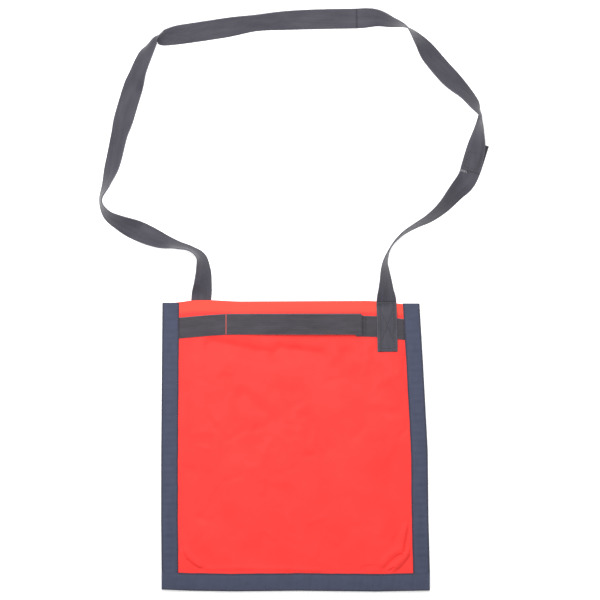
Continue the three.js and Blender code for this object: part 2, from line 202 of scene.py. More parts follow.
lamp_data = bpy.data.lights.new("soft_lamp", "AREA")
lamp_data.size = LAMP_SIZE
lamp_data.energy = LAMP_WATTS
lamp = bpy.data.objects.new("soft_lamp", lamp_data)
lamp.location = LAMP_PLACE
bpy.context.scene.collection.objects.link(lamp)
bpy.context.scene.view_settings.view_transform = "Standard"
print("one lamp of", LAMP_WATTS, "W under a white sky")

# %% [markdown]
# ## The red cloth
#
# The panels are a plain-woven polyester cloth, calendered smooth: its threads are far finer than a
# millimetre, so the eye gets an even, strong red with a very soft sheen. Along the hem it is mixed a
# little lighter. Partly that is because the cloth is doubled there, and partly it is painted light
# where the hem faces the light. A photograph of cloth could be laid on as a texture. A weave drawn
# from two waves of thread keeps its scale on every piece instead. The real threads are about 0.3 mm
# apart, too fine for the picture, so they are drawn 1.5 mm apart.

# %% Calendered plain-weave polyester, red
# A wave texture of scale 1 repeats after 2 pi / 20 of a unit.
WAVE_UNIT = 2 * math.pi / 20
CLOTH_THREAD_MM = 1.5
CLOTH_MOTTLE_MM = 45
# The hem starts this far below the mouth, and has its full lightness a little higher.
HEM_DEPTH = 17
HEM_LIGHT_FROM = 11


def make_red_cloth(panel_height):
    """The red cloth, lighter along a hem that starts at the mouth, panel_height up the cloth."""
    material, surface, thread_map = start_material("calendered_polyester_cloth_red")
    waves = []
    for direction in ("X", "Y"):
        scale = WAVE_UNIT / (2 * CLOTH_THREAD_MM * MM)
        settings = {"bands_direction": direction, "Scale": scale}
        wave = add_node(material, "ShaderNodeTexWave", settings, {"Vector": thread_map})
        settings = {"operation": "MULTIPLY_ADD", 1: 2.0, 2: -1.0}
        waves.append(add_node(material, "ShaderNodeMath", settings, {0: wave.outputs["Fac"]}))
    weave = add_node(
        material,
        "ShaderNodeMath",
        {"operation": "MULTIPLY"},
        {0: waves[0].outputs[0], 1: waves[1].outputs[0]},
    )
    mottle = add_node(
        material,
        "ShaderNodeTexNoise",
        {"Scale": 1 / (CLOTH_MOTTLE_MM * MM), "Detail": 3.0, "Roughness": 0.55},
        {"Vector": thread_map},
    )
    dye = add_node(material, "ShaderNodeValToRGB", {}, {"Fac": mottle.outputs["Fac"]})
    dye.color_ramp.elements[0].position = 0.3
    dye.color_ramp.elements[0].color = linear("#f43935")
    dye.color_ramp.elements[1].position = 0.7
    dye.color_ramp.elements[1].color = linear("#f63f3b")
    place = add_node(material, "ShaderNodeSeparateXYZ", {}, {"Vector": thread_map})
    hem = add_node(
        material,
        "ShaderNodeMapRange",
        {
            "interpolation_type": "SMOOTHSTEP",
            "From Min": (panel_height - HEM_DEPTH) * MM,
            "From Max": (panel_height - HEM_LIGHT_FROM) * MM,
        },
        {"Value": place.outputs["Y"]},
    )
    # Lighter along the hem: partly doubled cloth, partly painted light where the hem faces the light.
    lighter = add_node(
        material,
        "ShaderNodeMix",
        {"data_type": "RGBA", 7: linear("#f64c3f")},
        {0: hem.outputs["Result"], 6: dye.outputs["Color"]},
    )
    thread_shade = add_node(
        material,
        "ShaderNodeMapRange",
        {"From Min": -1.0, "From Max": 1.0, "To Min": 0.97, "To Max": 1.0},
        {"Value": weave.outputs[0]},
    )
    shaded = add_node(
        material,
        "ShaderNodeMix",
        {"data_type": "RGBA", "blend_type": "MULTIPLY", 0: 1.0},
        {6: lighter.outputs[2], 7: thread_shade.outputs["Result"]},
    )
    relief = add_node(
        material,
        "ShaderNodeBump",
        {"Strength": 0.25, "Distance": 0.1 * MM},
        {"Height": weave.outputs[0]},
    )
    links = material.node_tree.links
    links.new(shaded.outputs[2], surface.inputs["Base Color"])
    links.new(relief.outputs["Normal"], surface.inputs["Normal"])
    set_sockets(
        surface,
        {
            "Roughness": 0.72,
            "IOR": 1.5,
            "Specular IOR Level": 0.18,
            "Sheen Weight": 0.06,
            "Sheen Roughness": 0.4,
        },
    )
    return material


print(f"red cloth has threads {CLOTH_THREAD_MM} mm apart and a hem {HEM_DEPTH} mm deep")

# %% [markdown]
# ## The binding tape
#
# The edges are bound with a woven polyester tape of the kind called grosgrain: fine ribs cross it
# from edge to edge, and it is slate blue. A greyer, darker line is painted along its fold and along
# its sewn edge. It is painted shade, where the tape rolls over and steps down to the cloth. The ribs
# are really about 0.8 mm apart and are drawn 1.6 mm apart. A soft mottle comes from threads that
# took the dye unevenly.

# %% Woven grosgrain tape, slate blue
TAPE_HALF_MM = 22.5
TAPE_EDGE_SHADE_MM = 2.6
EDGE_SHADE_STRENGTH = 0.55
TAPE_RIB_MM = 1.6
BLOTCH_LONG_MM = 24
BLOTCH_WIDE_MM = 9


def make_navy_tape():
    """The tape's cloth. Its map runs along the tape, and across it from the fold at zero."""
    material, surface, thread_map = start_material("woven_grosgrain_tape_slate_blue")
    rib = add_node(
        material,
        "ShaderNodeTexWave",
        {"bands_direction": "X", "Scale": WAVE_UNIT / (TAPE_RIB_MM * MM)},
        {"Vector": thread_map},
    )
    stretch = add_node(
        material,
        "ShaderNodeMapping",
        {"Scale": (1 / (BLOTCH_LONG_MM * MM), 1 / (BLOTCH_WIDE_MM * MM), 1.0)},
        {"Vector": thread_map},
    )
    blotch = add_node(
        material,
        "ShaderNodeTexNoise",
        {"Scale": 1.0, "Detail": 4.0, "Roughness": 0.6},
        {"Vector": stretch.outputs["Vector"]},
    )
    dye = add_node(material, "ShaderNodeValToRGB", {}, {"Fac": blotch.outputs["Fac"]})
    dye.color_ramp.elements[0].position = 0.3
    dye.color_ramp.elements[0].color = linear("#404457")
    dye.color_ramp.elements[1].position = 0.7
    dye.color_ramp.elements[1].color = linear("#454a5f")
    place = add_node(material, "ShaderNodeSeparateXYZ", {}, {"Vector": thread_map})
    across = add_node(
        material, "ShaderNodeMath", {"operation": "ABSOLUTE"}, {0: place.outputs["Y"]}
    )
    # Painted shade: the tape is darkened towards grey along its fold and along its inner edge.
    fold = add_node(
        material,
        "ShaderNodeMapRange",
        {
            "interpolation_type": "SMOOTHSTEP",
            "From Min": 2 * TAPE_EDGE_SHADE_MM * MM,
            "From Max": TAPE_EDGE_SHADE_MM * MM,
        },
        {"Value": across.outputs[0]},
    )
    edge = add_node(
        material,
        "ShaderNodeMapRange",
        {
            "interpolation_type": "SMOOTHSTEP",
            "From Min": (TAPE_HALF_MM - TAPE_EDGE_SHADE_MM) * MM,
            "From Max": (TAPE_HALF_MM - TAPE_EDGE_SHADE_MM / 2) * MM,
        },
        {"Value": across.outputs[0]},
    )
    edge_shade = add_node(
        material,
        "ShaderNodeMath",
        {"operation": "MAXIMUM"},
        {0: fold.outputs["Result"], 1: edge.outputs["Result"]},
    )
    edge_shade_share = add_node(
        material,
        "ShaderNodeMath",
        {"operation": "MULTIPLY", 1: EDGE_SHADE_STRENGTH},
        {0: edge_shade.outputs[0]},
    )
    painted_edges = add_node(
        material,
        "ShaderNodeMix",
        {"data_type": "RGBA", 7: linear("#2c2a31")},
        {0: edge_shade_share.outputs[0], 6: dye.outputs["Color"]},
    )
    rib_shade = add_node(
        material,
        "ShaderNodeMapRange",
        {"To Min": 0.93, "To Max": 1.0},
        {"Value": rib.outputs["Fac"]},
    )
    shaded = add_node(
        material,
        "ShaderNodeMix",
        {"data_type": "RGBA", "blend_type": "MULTIPLY", 0: 1.0},
        {6: painted_edges.outputs[2], 7: rib_shade.outputs["Result"]},
    )
    relief = add_node(
        material,
        "ShaderNodeBump",
        {"Strength": 0.3, "Distance": 0.15 * MM},
        {"Height": rib.outputs["Fac"]},
    )
    links = material.node_tree.links
    links.new(shaded.outputs[2], surface.inputs["Base Color"])
    links.new(relief.outputs["Normal"], surface.inputs["Normal"])
    set_sockets(
        surface,
        {
            "Roughness": 0.78,
            "IOR": 1.5,
            "Specular IOR Level": 0.25,
            "Sheen Weight": 0.12,
            "Sheen Roughness": 0.35,
        },
    )
    return material


navy_tape = make_navy_tape()
print("made", navy_tape.name)

# %% [markdown]
# ## The webbing
#
# The band and the strap are flat polypropylene webbing, woven warp-faced: close ribs run along it,
# small steps cross them, and both selvedges are tight. The eye gets a dull charcoal grey that turns
# paler where the webbing stands on edge, because loose fibres on its face catch the light there.
# That fibre glow is what a shader calls sheen. The ribs, 1.2 mm apart on the real webbing, are
# drawn 2.1 mm apart. The selvedges are painted a little paler, a painted highlight. The band has a
# darker, less blue dye than the strap. Its darkness is painted shade for the handle, which tips away
# from the light.

# %% Warp-faced polypropylene webbing, charcoal
WEBBING_WIDTH = 25
WEBBING_RIB_MM = 2.1
WEBBING_STEP_MM = 2.4
STEP_SHARE = 0.35
MOTTLE_LONG_MM = 36
MOTTLE_WIDE_MM = 8
SELVEDGE_HIGHLIGHT_MM = 1.2


def make_grey_webbing(name, dark, light):
    """The webbing's yarn. Its map runs along the webbing, and across it from the middle."""
    material, surface, thread_map = start_material(name)
    rib = add_node(
        material,
        "ShaderNodeTexWave",
        {"bands_direction": "Y", "Scale": WAVE_UNIT / (WEBBING_RIB_MM * MM)},
        {"Vector": thread_map},
    )
    step = add_node(
        material,
        "ShaderNodeTexWave",
        {"bands_direction": "X", "Scale": WAVE_UNIT / (WEBBING_STEP_MM * MM)},
        {"Vector": thread_map},
    )
    weave = add_node(
        material,
        "ShaderNodeMath",
        {"operation": "MULTIPLY_ADD", 1: STEP_SHARE},
        {0: step.outputs["Fac"], 2: rib.outputs["Fac"]},
    )
    stretch = add_node(
        material,
        "ShaderNodeMapping",
        {"Scale": (1 / (MOTTLE_LONG_MM * MM), 1 / (MOTTLE_WIDE_MM * MM), 1.0)},
        {"Vector": thread_map},
    )
    mottle = add_node(
        material,
        "ShaderNodeTexNoise",
        {"Scale": 1.0, "Detail": 4.0, "Roughness": 0.6},
        {"Vector": stretch.outputs["Vector"]},
    )
    dye = add_node(material, "ShaderNodeValToRGB", {}, {"Fac": mottle.outputs["Fac"]})
    dye.color_ramp.elements[0].position = 0.28
    dye.color_ramp.elements[0].color = linear(dark)
    dye.color_ramp.elements[1].position = 0.72
    dye.color_ramp.elements[1].color = linear(light)
    place = add_node(material, "ShaderNodeSeparateXYZ", {}, {"Vector": thread_map})
    across = add_node(
        material, "ShaderNodeMath", {"operation": "ABSOLUTE"}, {0: place.outputs["Y"]}
    )
    # Painted highlight: the selvedges are mixed a little paler, as edges that catch the light.
    selvedge_highlight = add_node(
        material,
        "ShaderNodeMapRange",
        {
            "interpolation_type": "SMOOTHSTEP",
            "From Min": (WEBBING_WIDTH / 2 - SELVEDGE_HIGHLIGHT_MM) * MM,
            "From Max": (WEBBING_WIDTH / 2 - SELVEDGE_HIGHLIGHT_MM / 3) * MM,
            "To Max": 0.6,
        },
        {"Value": across.outputs[0]},
    )
    painted_edges = add_node(
        material,
        "ShaderNodeMix",
        {"data_type": "RGBA", 7: linear("#625f68")},
        {0: selvedge_highlight.outputs["Result"], 6: dye.outputs["Color"]},
    )
    weave_shade = add_node(
        material,
        "ShaderNodeMapRange",
        {"From Max": 1 + STEP_SHARE, "To Min": 0.9, "To Max": 1.02},
        {"Value": weave.outputs[0]},
    )
    shaded = add_node(
        material,
        "ShaderNodeMix",
        {"data_type": "RGBA", "blend_type": "MULTIPLY", 0: 1.0},
        {6: painted_edges.outputs[2], 7: weave_shade.outputs["Result"]},
    )
    relief = add_node(
        material,
        "ShaderNodeBump",
        {"Strength": 0.35, "Distance": 0.2 * MM},
        {"Height": weave.outputs[0]},
    )
    links = material.node_tree.links
    links.new(shaded.outputs[2], surface.inputs["Base Color"])
    links.new(relief.outputs["Normal"], surface.inputs["Normal"])
    set_sockets(
        surface,
        {
            "Roughness": 0.7,
            "IOR": 1.49,
            "Specular IOR Level": 0.3,
            "Sheen Weight": 0.2,
            "Sheen Roughness": 0.4,
        },
    )
    return material


strap_webbing = make_grey_webbing("warp_faced_webbing_charcoal", "#393840", "#484750")
# The band's darker dye is painted shade for the handle, which tips away from the light.
band_webbing = make_grey_webbing("warp_faced_webbing_band_shaded", "#353238", "#434047")
print("made", strap_webbing.name, "and", band_webbing.name)

# %% [markdown]
# ## Sewing thread
#
# The seams are sewn with spun polyester thread, two yarns twisted together, so each stitch has a
# faint slanting stripe and a dull shine. One function makes it in the colour of each seam: slate
# on the tapes, grey on the webbing, red along the hem and a paler red on the handle's bar tack.

# %% Twisted polyester thread
THREAD_TWIST_MM = 0.8


def make_thread(name, dark, light):
    """Thread of one colour, from the shade between its yarns to the shade on them."""
    material, surface, thread_map = start_material(name)
    twist = add_node(
        material,
        "ShaderNodeTexWave",
        {"bands_direction": "DIAGONAL", "Scale": WAVE_UNIT / (THREAD_TWIST_MM * MM)},
        {"Vector": thread_map},
    )
    yarn = add_node(material, "ShaderNodeValToRGB", {}, {"Fac": twist.outputs["Fac"]})
    yarn.color_ramp.elements[0].color = linear(dark)
    yarn.color_ramp.elements[1].color = linear(light)
    material.node_tree.links.new(yarn.outputs["Color"], surface.inputs["Base Color"])
    set_sockets(surface, {"Roughness": 0.55, "IOR": 1.5, "Sheen Weight": 0.15})
    return material


slate_thread = make_thread("spun_polyester_thread_slate", "#383b4c", "#50546a")
grey_thread = make_thread("spun_polyester_thread_grey", "#201f23", "#39373d")
red_thread = make_thread("spun_polyester_thread_red", "#c42f2c", "#e64a42")
tack_thread = make_thread("spun_polyester_thread_pale_red", "#a83632", "#d66a64")
loose_yarn = make_thread("loose_webbing_yarn_grey", "#6a6870", "#96949c")
print("made five threads")

# %% [markdown]
# ## Outlines of the bag
#
# The bag was sewn square, but cloth never lies quite square, so its four edges are short tables:
# each row is a place where an edge changes direction. In between they run straight, and a little
# averaging rounds the corners. All sizes here are millimetres, turned to metres only when a mesh is
# made. X runs across the bag, Y from its bottom to its mouth and Z up.

# %% Edge tables
LEFT_EDGE_Y_X = [(-361, -163.8), (-332, -164.1), (-274, -164.6), (-186, -164.5), (-4, -163.0)]
RIGHT_EDGE_Y_X = [
    (-361, 167.8), (-338, 168.6), (-270, 166.8), (-186, 165.9), (-77, 160.0), (-4, 155.6),
]
BOTTOM_EDGE_X_Y = [
    (-164, -359.0), (-128, -360.6), (-75, -361.4), (5, -360.6), (103, -361.6), (168, -360.3),
]
MOUTH_EDGE_X_Y = [
    (-163, -4.6), (-143, -2.8), (-128, -0.6), (-103, -0.2), (-69, -2.0),
    (104, -1.2), (128, -3.3), (136, -4.4), (156, -5.8),
]
MIDDLE_Y = -186.0
CORNER_ROUNDING = 5.0
ROUNDING_SHARES = (-1.0, -0.5, 0.0, 0.5, 1.0)


def look_up(rows, place):
    """The second column of a table at places along its first, with its corners rounded a little."""
    along, value = np.array(rows, float).T
    near = [np.interp(place + share * CORNER_ROUNDING, along, value) for share in ROUNDING_SHARES]
    return np.mean(near, axis=0)


def left_edge(y):
    return look_up(LEFT_EDGE_Y_X, y)


def right_edge(y):
    return look_up(RIGHT_EDGE_Y_X, y)


def bottom_edge(x):
    return look_up(BOTTOM_EDGE_X_Y, x)


def mouth_edge(x):
    return look_up(MOUTH_EDGE_X_Y, x)


bag_width = right_edge(MIDDLE_Y) - left_edge(MIDDLE_Y)
print(f"bag about {bag_width:.0f} mm wide and {mouth_edge(0.0) - bottom_edge(0.0):.0f} mm tall")

# %% [markdown]
# ## Heights of the layers
#
# The layers lie on each other: back tape, back panel, air, front panel, front tape. The back panel
# lies on the strap's sewn end, one thickness of webbing up, and climbs a little towards the bottom,
# where the tapes are folded over each other. The same few thicknesses, and a small gap between
# layers that touch, set every level below.

# %% Thicknesses and levels
CLOTH_THICK = 1.0
TAPE_THICK = 1.0
WEBBING_THICK = 1.5
GAP = 0.3
SIDE_TAPE_WIDTH = 20.8
BOTTOM_TAPE_WIDTH = 21.9
BACK_LEVEL = WEBBING_THICK + GAP
BACK_LEVEL_AT_BOTTOM = 2 * (TAPE_THICK + GAP)
CLIMB_START_Y = -258
CLIMB_END_Y = -338
print(f"back panel {BACK_LEVEL} mm up at the mouth, {BACK_LEVEL_AT_BOTTOM} mm at the bottom")

# %% [markdown]
# ## Folds of the front panel
#
# Cloth that has been folded and carried keeps marks. Broad folds are soft ridges and dents. Sharp
# creases near the bottom corners are narrow valleys along short lines. They could be sculpted by
# hand, but a row for each fold, with its line, height and spread in millimetres, is easier to move.
# Every fold fades out close to the tapes, which hold the cloth flat. A few long shallow waves keep
# the rest from being too smooth.

# %% Fold and wave tables
FOLDS = [
    {"line": [(121.5, -334), (140, -315)], "height": 2.2, "spread": 5.5, "fade": 8},
    {"line": [(143, -309), (143, -285)], "height": 1.3, "spread": 4.5, "fade": 8},
    {"line": [(-136, -312), (-118, -330)], "height": 1.8, "spread": 4.5, "fade": 8},
    {"line": [(-100, -55), (-67, -62), (-26, -70)], "height": -4.6, "spread": 10.5, "fade": 8},
    {"line": [(-16, -63), (8, -66), (32, -69)], "height": -4.2, "spread": 10, "fade": 8},
    {"line": [(-104, -50), (-67, -58), (-26, -66)], "height": -0.9, "spread": 4, "fade": 8},
    {"line": [(-16, -58), (8, -62), (32, -65)], "height": -0.9, "spread": 4, "fade": 8},
    {"line": [(63, -65), (84, -69)], "height": -1.6, "spread": 5, "fade": 8},
    {"line": [(-62, -118), (-29, -148)], "height": -3.6, "spread": 10, "fade": 8},
    {"line": [(15, -146), (41, -184)], "height": -3.4, "spread": 10, "fade": 8},
    {"line": [(137, -281), (133, -308)], "height": 1.5, "spread": 4.5, "fade": 6},
    {"line": [(127, -311), (118, -317), (109, -328)], "height": 1.3, "spread": 4, "fade": 6},
    {"line": [(145.4, -270), (141, -292), (137.5, -312)], "height": -1.9, "spread": 2, "fade": 2},
    {"line": [(134, -316), (129, -318), (123, -323), (114, -333)],
     "height": -2.2, "spread": 1.8, "fade": 3},
    {"line": [(144, -318), (137, -327.5), (130, -335)], "height": -0.65, "spread": 1.5, "fade": 3},
    {"line": [(123, -332.5), (117, -337.5)], "height": -1.3, "spread": 1.6, "fade": 2},
    {"line": [(101, -331), (89.5, -331), (78, -338)], "height": -1.2, "spread": 1.9, "fade": 2},
    {"line": [(-140, -303), (-135, -318)], "height": -1.0, "spread": 1.9, "fade": 3},
    {"line": [(-132.5, -323), (-124, -329.5), (-113, -335)],
     "height": -1.3, "spread": 1.8, "fade": 3},
    {"line": [(-108, -333), (-70, -332), (-20, -333), (30, -335)],
     "height": 0.6, "spread": 3, "fade": 3},
]
WAVES = [
    {"long": 95, "angle": 35, "height": 0.3, "start": 0.4},
    {"long": 70, "angle": -50, "height": 0.25, "start": 1.9},
    {"long": 42, "angle": 80, "height": 0.14, "start": 3.1},
    {"long": 33, "angle": -15, "height": 0.1, "start": 5.0},
]
WAVE_FADE = 25
print(len(FOLDS), "folds and", len(WAVES), "waves")

# %% [markdown]
# Many small wrinkles lie between the folds, most of them high up. Nobody would place them one by one,
# so a seeded random generator does, and they come out the same each time.

# %% Small wrinkles
WRINKLE_SEED = 4
WRINKLE_COUNT = 170
WRINKLE_X = (-138, 140)
WRINKLE_TOP_Y = -62
WRINKLE_LOW_Y = -325
WRINKLE_LONG = (8, 28)
WRINKLE_HEIGHT = (-0.85, 0.85)
WRINKLE_SPREAD = (3.2, 6.0)
WRINKLE_FADE = 6
# The higher this power is, the closer to the mouth the wrinkles crowd.
WRINKLE_CROWDING = 2


def small_wrinkle(random):
    """One short shallow fold at a random place, more often high up than low down."""
    x = random.uniform(*WRINKLE_X)
    down = random.uniform() ** WRINKLE_CROWDING
    y = WRINKLE_TOP_Y + (WRINKLE_LOW_Y - WRINKLE_TOP_Y) * down
    angle = random.uniform(0, math.pi)
    reach = random.uniform(*WRINKLE_LONG) / 2
    dx, dy = reach * math.cos(angle), reach * math.sin(angle)
    return {
        "line": [(x - dx, y - dy), (x + dx, y + dy)],
        "height": random.uniform(*WRINKLE_HEIGHT),
        "spread": random.uniform(*WRINKLE_SPREAD),
        "fade": WRINKLE_FADE,
    }


wrinkle_places = np.random.default_rng(WRINKLE_SEED)
FOLDS += [small_wrinkle(wrinkle_places) for _ in range(WRINKLE_COUNT)]
print(len(FOLDS), "folds with the small wrinkles")

# %% [markdown]
# An empty bag like this holds a little air, so the front panel swells from the tapes towards its
# middle. A cloth simulation could find that shape, but it would also move the traced folds, so the
# swell is a formula: an arch from side to side and a rise from the bottom, settled at the mouth.

# %% Height formulas
POCKET_DEPTH = 9.0
MOUTH_SHARE = 0.8
ARCH_POWER = 3
RISE_POWER = 3
SETTLE_POWER = 4


def smooth(value, start, end):
    """Runs from 0 to 1 as value goes from start to end, flat at both."""
    share = np.clip((value - start) / (end - start), 0, 1)
    return share * share * (3 - 2 * share)


def climb(y):
    """Share of the climb to the folded tapes, from 0 towards the mouth to 1 at the bottom."""
    return 1 - smooth(y, CLIMB_END_Y, CLIMB_START_Y)


def back_underside(y):
    return BACK_LEVEL + (BACK_LEVEL_AT_BOTTOM - BACK_LEVEL) * climb(y)


def tape_edges(x, y):
    """Inner edges of the left, right and bottom tapes beside and below a place."""
    left = left_edge(y) + SIDE_TAPE_WIDTH
    right = right_edge(y) - SIDE_TAPE_WIDTH
    return left, right, bottom_edge(x) + BOTTOM_TAPE_WIDTH


def swell(x, y):
    """Height of the air in the pocket: pinched along the tapes, fullest in the middle."""
    left, right, bottom = tape_edges(x, y)
    across = np.clip((x - left) / (right - left), 0, 1)
    up = np.clip((y - bottom) / (mouth_edge(x) - bottom), 0, 1)
    arch = 1 - np.abs(2 * across - 1) ** ARCH_POWER
    rise = 1 - (1 - up) ** RISE_POWER
    settle = 1 - (1 - MOUTH_SHARE) * up**SETTLE_POWER
    return POCKET_DEPTH * arch * rise * settle


def line_distance(x, y, line):
    """Distance of places from a line of straight stretches."""
    nearest = np.full(np.shape(x), np.inf)
    for (x0, y0), (x1, y1) in zip(line, line[1:]):
        dx, dy = x1 - x0, y1 - y0
        share = np.clip(((x - x0) * dx + (y - y0) * dy) / (dx * dx + dy * dy), 0, 1)
        nearest = np.minimum(nearest, np.hypot(x - x0 - share * dx, y - y0 - share * dy))
    return nearest


def fold_height(x, y):
    """Height that folds, creases and waves add, faded out towards the tapes."""
    left, right, bottom = tape_edges(x, y)
    from_tape = np.minimum(np.minimum(x - left, right - x), y - bottom)
    height = np.zeros(np.shape(x))
    for fold in FOLDS:
        away = line_distance(x, y, fold["line"]) / fold["spread"]
        height += fold["height"] * np.exp(-away * away) * smooth(from_tape, 0, fold["fade"])
    for wave in WAVES:
        angle = math.radians(wave["angle"])
        along = x * math.cos(angle) + y * math.sin(angle)
        turn = 2 * math.pi * along / wave["long"] + wave["start"]
        height += wave["height"] * np.sin(turn) * smooth(from_tape, 0, WAVE_FADE)
    return height


def front_underside(x, y):
    return back_underside(y) + CLOTH_THICK + GAP + np.maximum(swell(x, y) + fold_height(x, y), 0)


def front_top(x, y):
    return front_underside(x, y) + CLOTH_THICK


print(f"front panel {front_top(0.0, MIDDLE_Y):.1f} mm up in its middle")

# %% [markdown]
# ## A mesh for cloth
#
# Cloth, tape and webbing all have two faces and an edge. Solidify could thicken a single sheet, but
# here the two faces sometimes differ, as at a hem. So a grid of points is made for each face, and
# both rims are pulled in a little and joined through a line midway, which rounds the edge. Each point
# also gets its place on the flat cloth, along and across the threads, as the thread map.

# %% Cloth mesh helpers
RIM_ROUNDING = 0.45


def outward_faces(points, faces):
    """The faces, turned over where they enclose less than nothing."""
    a, b, c, d = (points[faces[:, corner]] for corner in range(4))
    volume = (a * np.cross(b, c)).sum() + (a * np.cross(c, d)).sum()
    return faces if volume > 0 else faces[:, ::-1]


def make_mesh(name, points_mm, faces, thread_mm):
    """A smooth mesh in metres from points, four-cornered faces and thread places in mm."""
    mesh = bpy.data.meshes.new(name)
    mesh.from_pydata(points_mm * MM, [], faces.tolist())
    corners = np.zeros(len(mesh.loops), np.int32)
    mesh.loops.foreach_get("vertex_index", corners)
    layer = mesh.uv_layers.new(name="thread_map")
    layer.uv.foreach_set("vector", (thread_mm[corners] * MM).astype(np.float32).ravel())
    mesh.polygons.foreach_set("use_smooth", np.ones(len(mesh.polygons), bool))
    mesh.update()
    return mesh


def add_piece(name, mesh, material):
    """Adds a piece to the bag: it rides with the bag's one body and gets its material."""
    piece = bpy.data.objects.new(name, mesh)
    bpy.context.scene.collection.objects.link(piece)
    mesh.materials.append(material)
    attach(piece, "root")
    print(f"{name}: {len(mesh.polygons)} faces")
    return piece


def cloth_mesh(name, face, back, thread):
    """A closed piece of cloth between two grids of points, with a rounded rim."""
    rows, columns, _ = face.shape
    count = rows * columns
    grid = np.arange(count).reshape(rows, columns)
    rim = np.concatenate([grid[0, :-1], grid[:-1, -1], grid[-1, :0:-1], grid[:0:-1, 0]])
    inward = np.concatenate([grid[1, :-1], grid[:-1, -2], grid[-2, :0:-1], grid[:0:-1, 1]])
    face, back = face.reshape(-1, 3).copy(), back.reshape(-1, 3).copy()
    thread = thread.reshape(-1, 2)
    middle = (face + back) / 2
    edge = middle[rim]
    out = edge - middle[inward]
    out /= np.linalg.norm(out, axis=1, keepdims=True)
    pull = RIM_ROUNDING * out * np.linalg.norm(face[rim] - back[rim], axis=1, keepdims=True)
    face[rim] -= pull
    back[rim] -= pull
    a, b, c, d = grid[:-1, :-1], grid[:-1, 1:], grid[1:, 1:], grid[1:, :-1]
    over = np.stack([a, b, c, d], -1).reshape(-1, 4)
    under = np.stack([a, d, c, b], -1).reshape(-1, 4) + count
    edge_at = 2 * count + np.arange(len(rim))
    rim_next, edge_next = np.roll(rim, -1), np.roll(edge_at, -1)
    upper_rim = np.stack([rim_next, rim, edge_at, edge_next], -1)
    lower_rim = np.stack([edge_next, edge_at, rim + count, rim_next + count], -1)
    points = np.concatenate([face, back, edge])
    faces = outward_faces(points, np.concatenate([over, under, upper_rim, lower_rim]))
    return make_mesh(name, points, faces, np.concatenate([thread, thread, thread[rim]]))


print("rims are pulled in by", RIM_ROUNDING, "of the thickness")

# %% [markdown]
# ## The two panels
#
# Both panels are cut from one cloth and reach into the fold of the tapes on three sides. The front
# one is turned in once along the mouth, as a hem, so it is twice as thick there. Its grid is finest
# near the tapes, where it carries the creases as real shape, so that they also show from the side.

# %% Make the panels
TAPE_BEND_RADIUS = 0.25
PANEL_INSET = TAPE_THICK + TAPE_BEND_RADIUS + GAP
PANEL_HEIGHT = float(mouth_edge(0.0) - bottom_edge(0.0) - PANEL_INSET)
SIDE_STRETCH = 0.14
BOTTOM_STRETCH = 0.21
SIDE_LINES = 44
MIDDLE_LINES = 120
BOTTOM_LINES = 84
UPPER_LINES = 140
BACK_LINES = 60

red_cloth = make_red_cloth(PANEL_HEIGHT)


def panel_places(shares_across, shares_up):
    """Places of a panel's points on the table, and on the flat cloth."""
    across, up = np.meshgrid(shares_across, shares_up)
    left, right = left_edge(CLIMB_START_Y), right_edge(CLIMB_START_Y)
    near_x = left + across * (right - left)
    low = bottom_edge(near_x) + PANEL_INSET
    y = low + up * (mouth_edge(near_x) - low)
    x = left_edge(y) + PANEL_INSET
    x = x + across * (right_edge(y) - PANEL_INSET - x)
    return x, y, np.stack([x, up * PANEL_HEIGHT], -1)


side_shares = np.linspace(0, SIDE_STRETCH, SIDE_LINES)
middle_shares = np.linspace(SIDE_STRETCH, 1 - SIDE_STRETCH, MIDDLE_LINES)[1:-1]
bottom_shares = np.linspace(0, BOTTOM_STRETCH, BOTTOM_LINES)
upper_shares = np.linspace(BOTTOM_STRETCH, 1, UPPER_LINES)[1:]
x, y, thread = panel_places(
    np.concatenate([side_shares, middle_shares, 1 - side_shares[::-1]]),
    np.concatenate([bottom_shares, upper_shares]),
)
turned_in = smooth(thread[..., 1], PANEL_HEIGHT - HEM_DEPTH - CLOTH_THICK, PANEL_HEIGHT - HEM_DEPTH)
turned_in = CLOTH_THICK * turned_in * smooth(swell(x, y), CLOTH_THICK, 2 * CLOTH_THICK)
top = np.stack([x, y, front_top(x, y)], -1)
under = np.stack([x, y, front_underside(x, y) - turned_in], -1)
front_panel = add_piece(
    "front_panel_cloth", cloth_mesh("front_panel_cloth", top, under, thread), red_cloth
)
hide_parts("front_panel")

even_shares = np.linspace(0, 1, BACK_LINES)
x, y, thread = panel_places(even_shares, even_shares)
top = np.stack([x, y, back_underside(y) + CLOTH_THICK], -1)
under = np.stack([x, y, back_underside(y)], -1)
back_panel = add_piece(
    "back_panel_cloth", cloth_mesh("back_panel_cloth", top, under, thread), red_cloth
)
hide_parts("back_panel")

# %% [markdown]
# ## The binding tapes
#
# Each tape is folded lengthwise round the edges of both panels and sewn through all layers close to
# its inner edge. A curve with a bevel could be folded like that, but it would have no groove. So the
# section is drawn as points, from the edge of the front leg round the fold to the edge of the back
# leg. The seam presses a small groove into both legs and draws the front leg into shallow puckers
# between itself and the fold.

# %% Section of a tape
SEAM_INSET = 1.9
GROOVE_DEPTH = 0.22
GROOVE_SPREAD = 0.7
LEG_SHARES = np.array([1, 0.965, 0.94, 0.92, 0.905, 0.89, 0.87, 0.84, 0.75, 0.6, 0.45, 0.3, 0.2])
BEND_POINTS = 7
BEND_ANGLES = np.radians(np.linspace(0, 90, BEND_POINTS))
PUCKER_HEIGHT = 1.0
PUCKER_LONGS = (29.0, 12.7, 7.9)


def pucker(along):
    """Height of the waves that the seam draws across a tape, at a place along it."""
    waves = [math.sin(2 * math.pi * along / long) for long in PUCKER_LONGS]
    return PUCKER_HEIGHT * (1 + sum(waves) / len(waves)) / 2


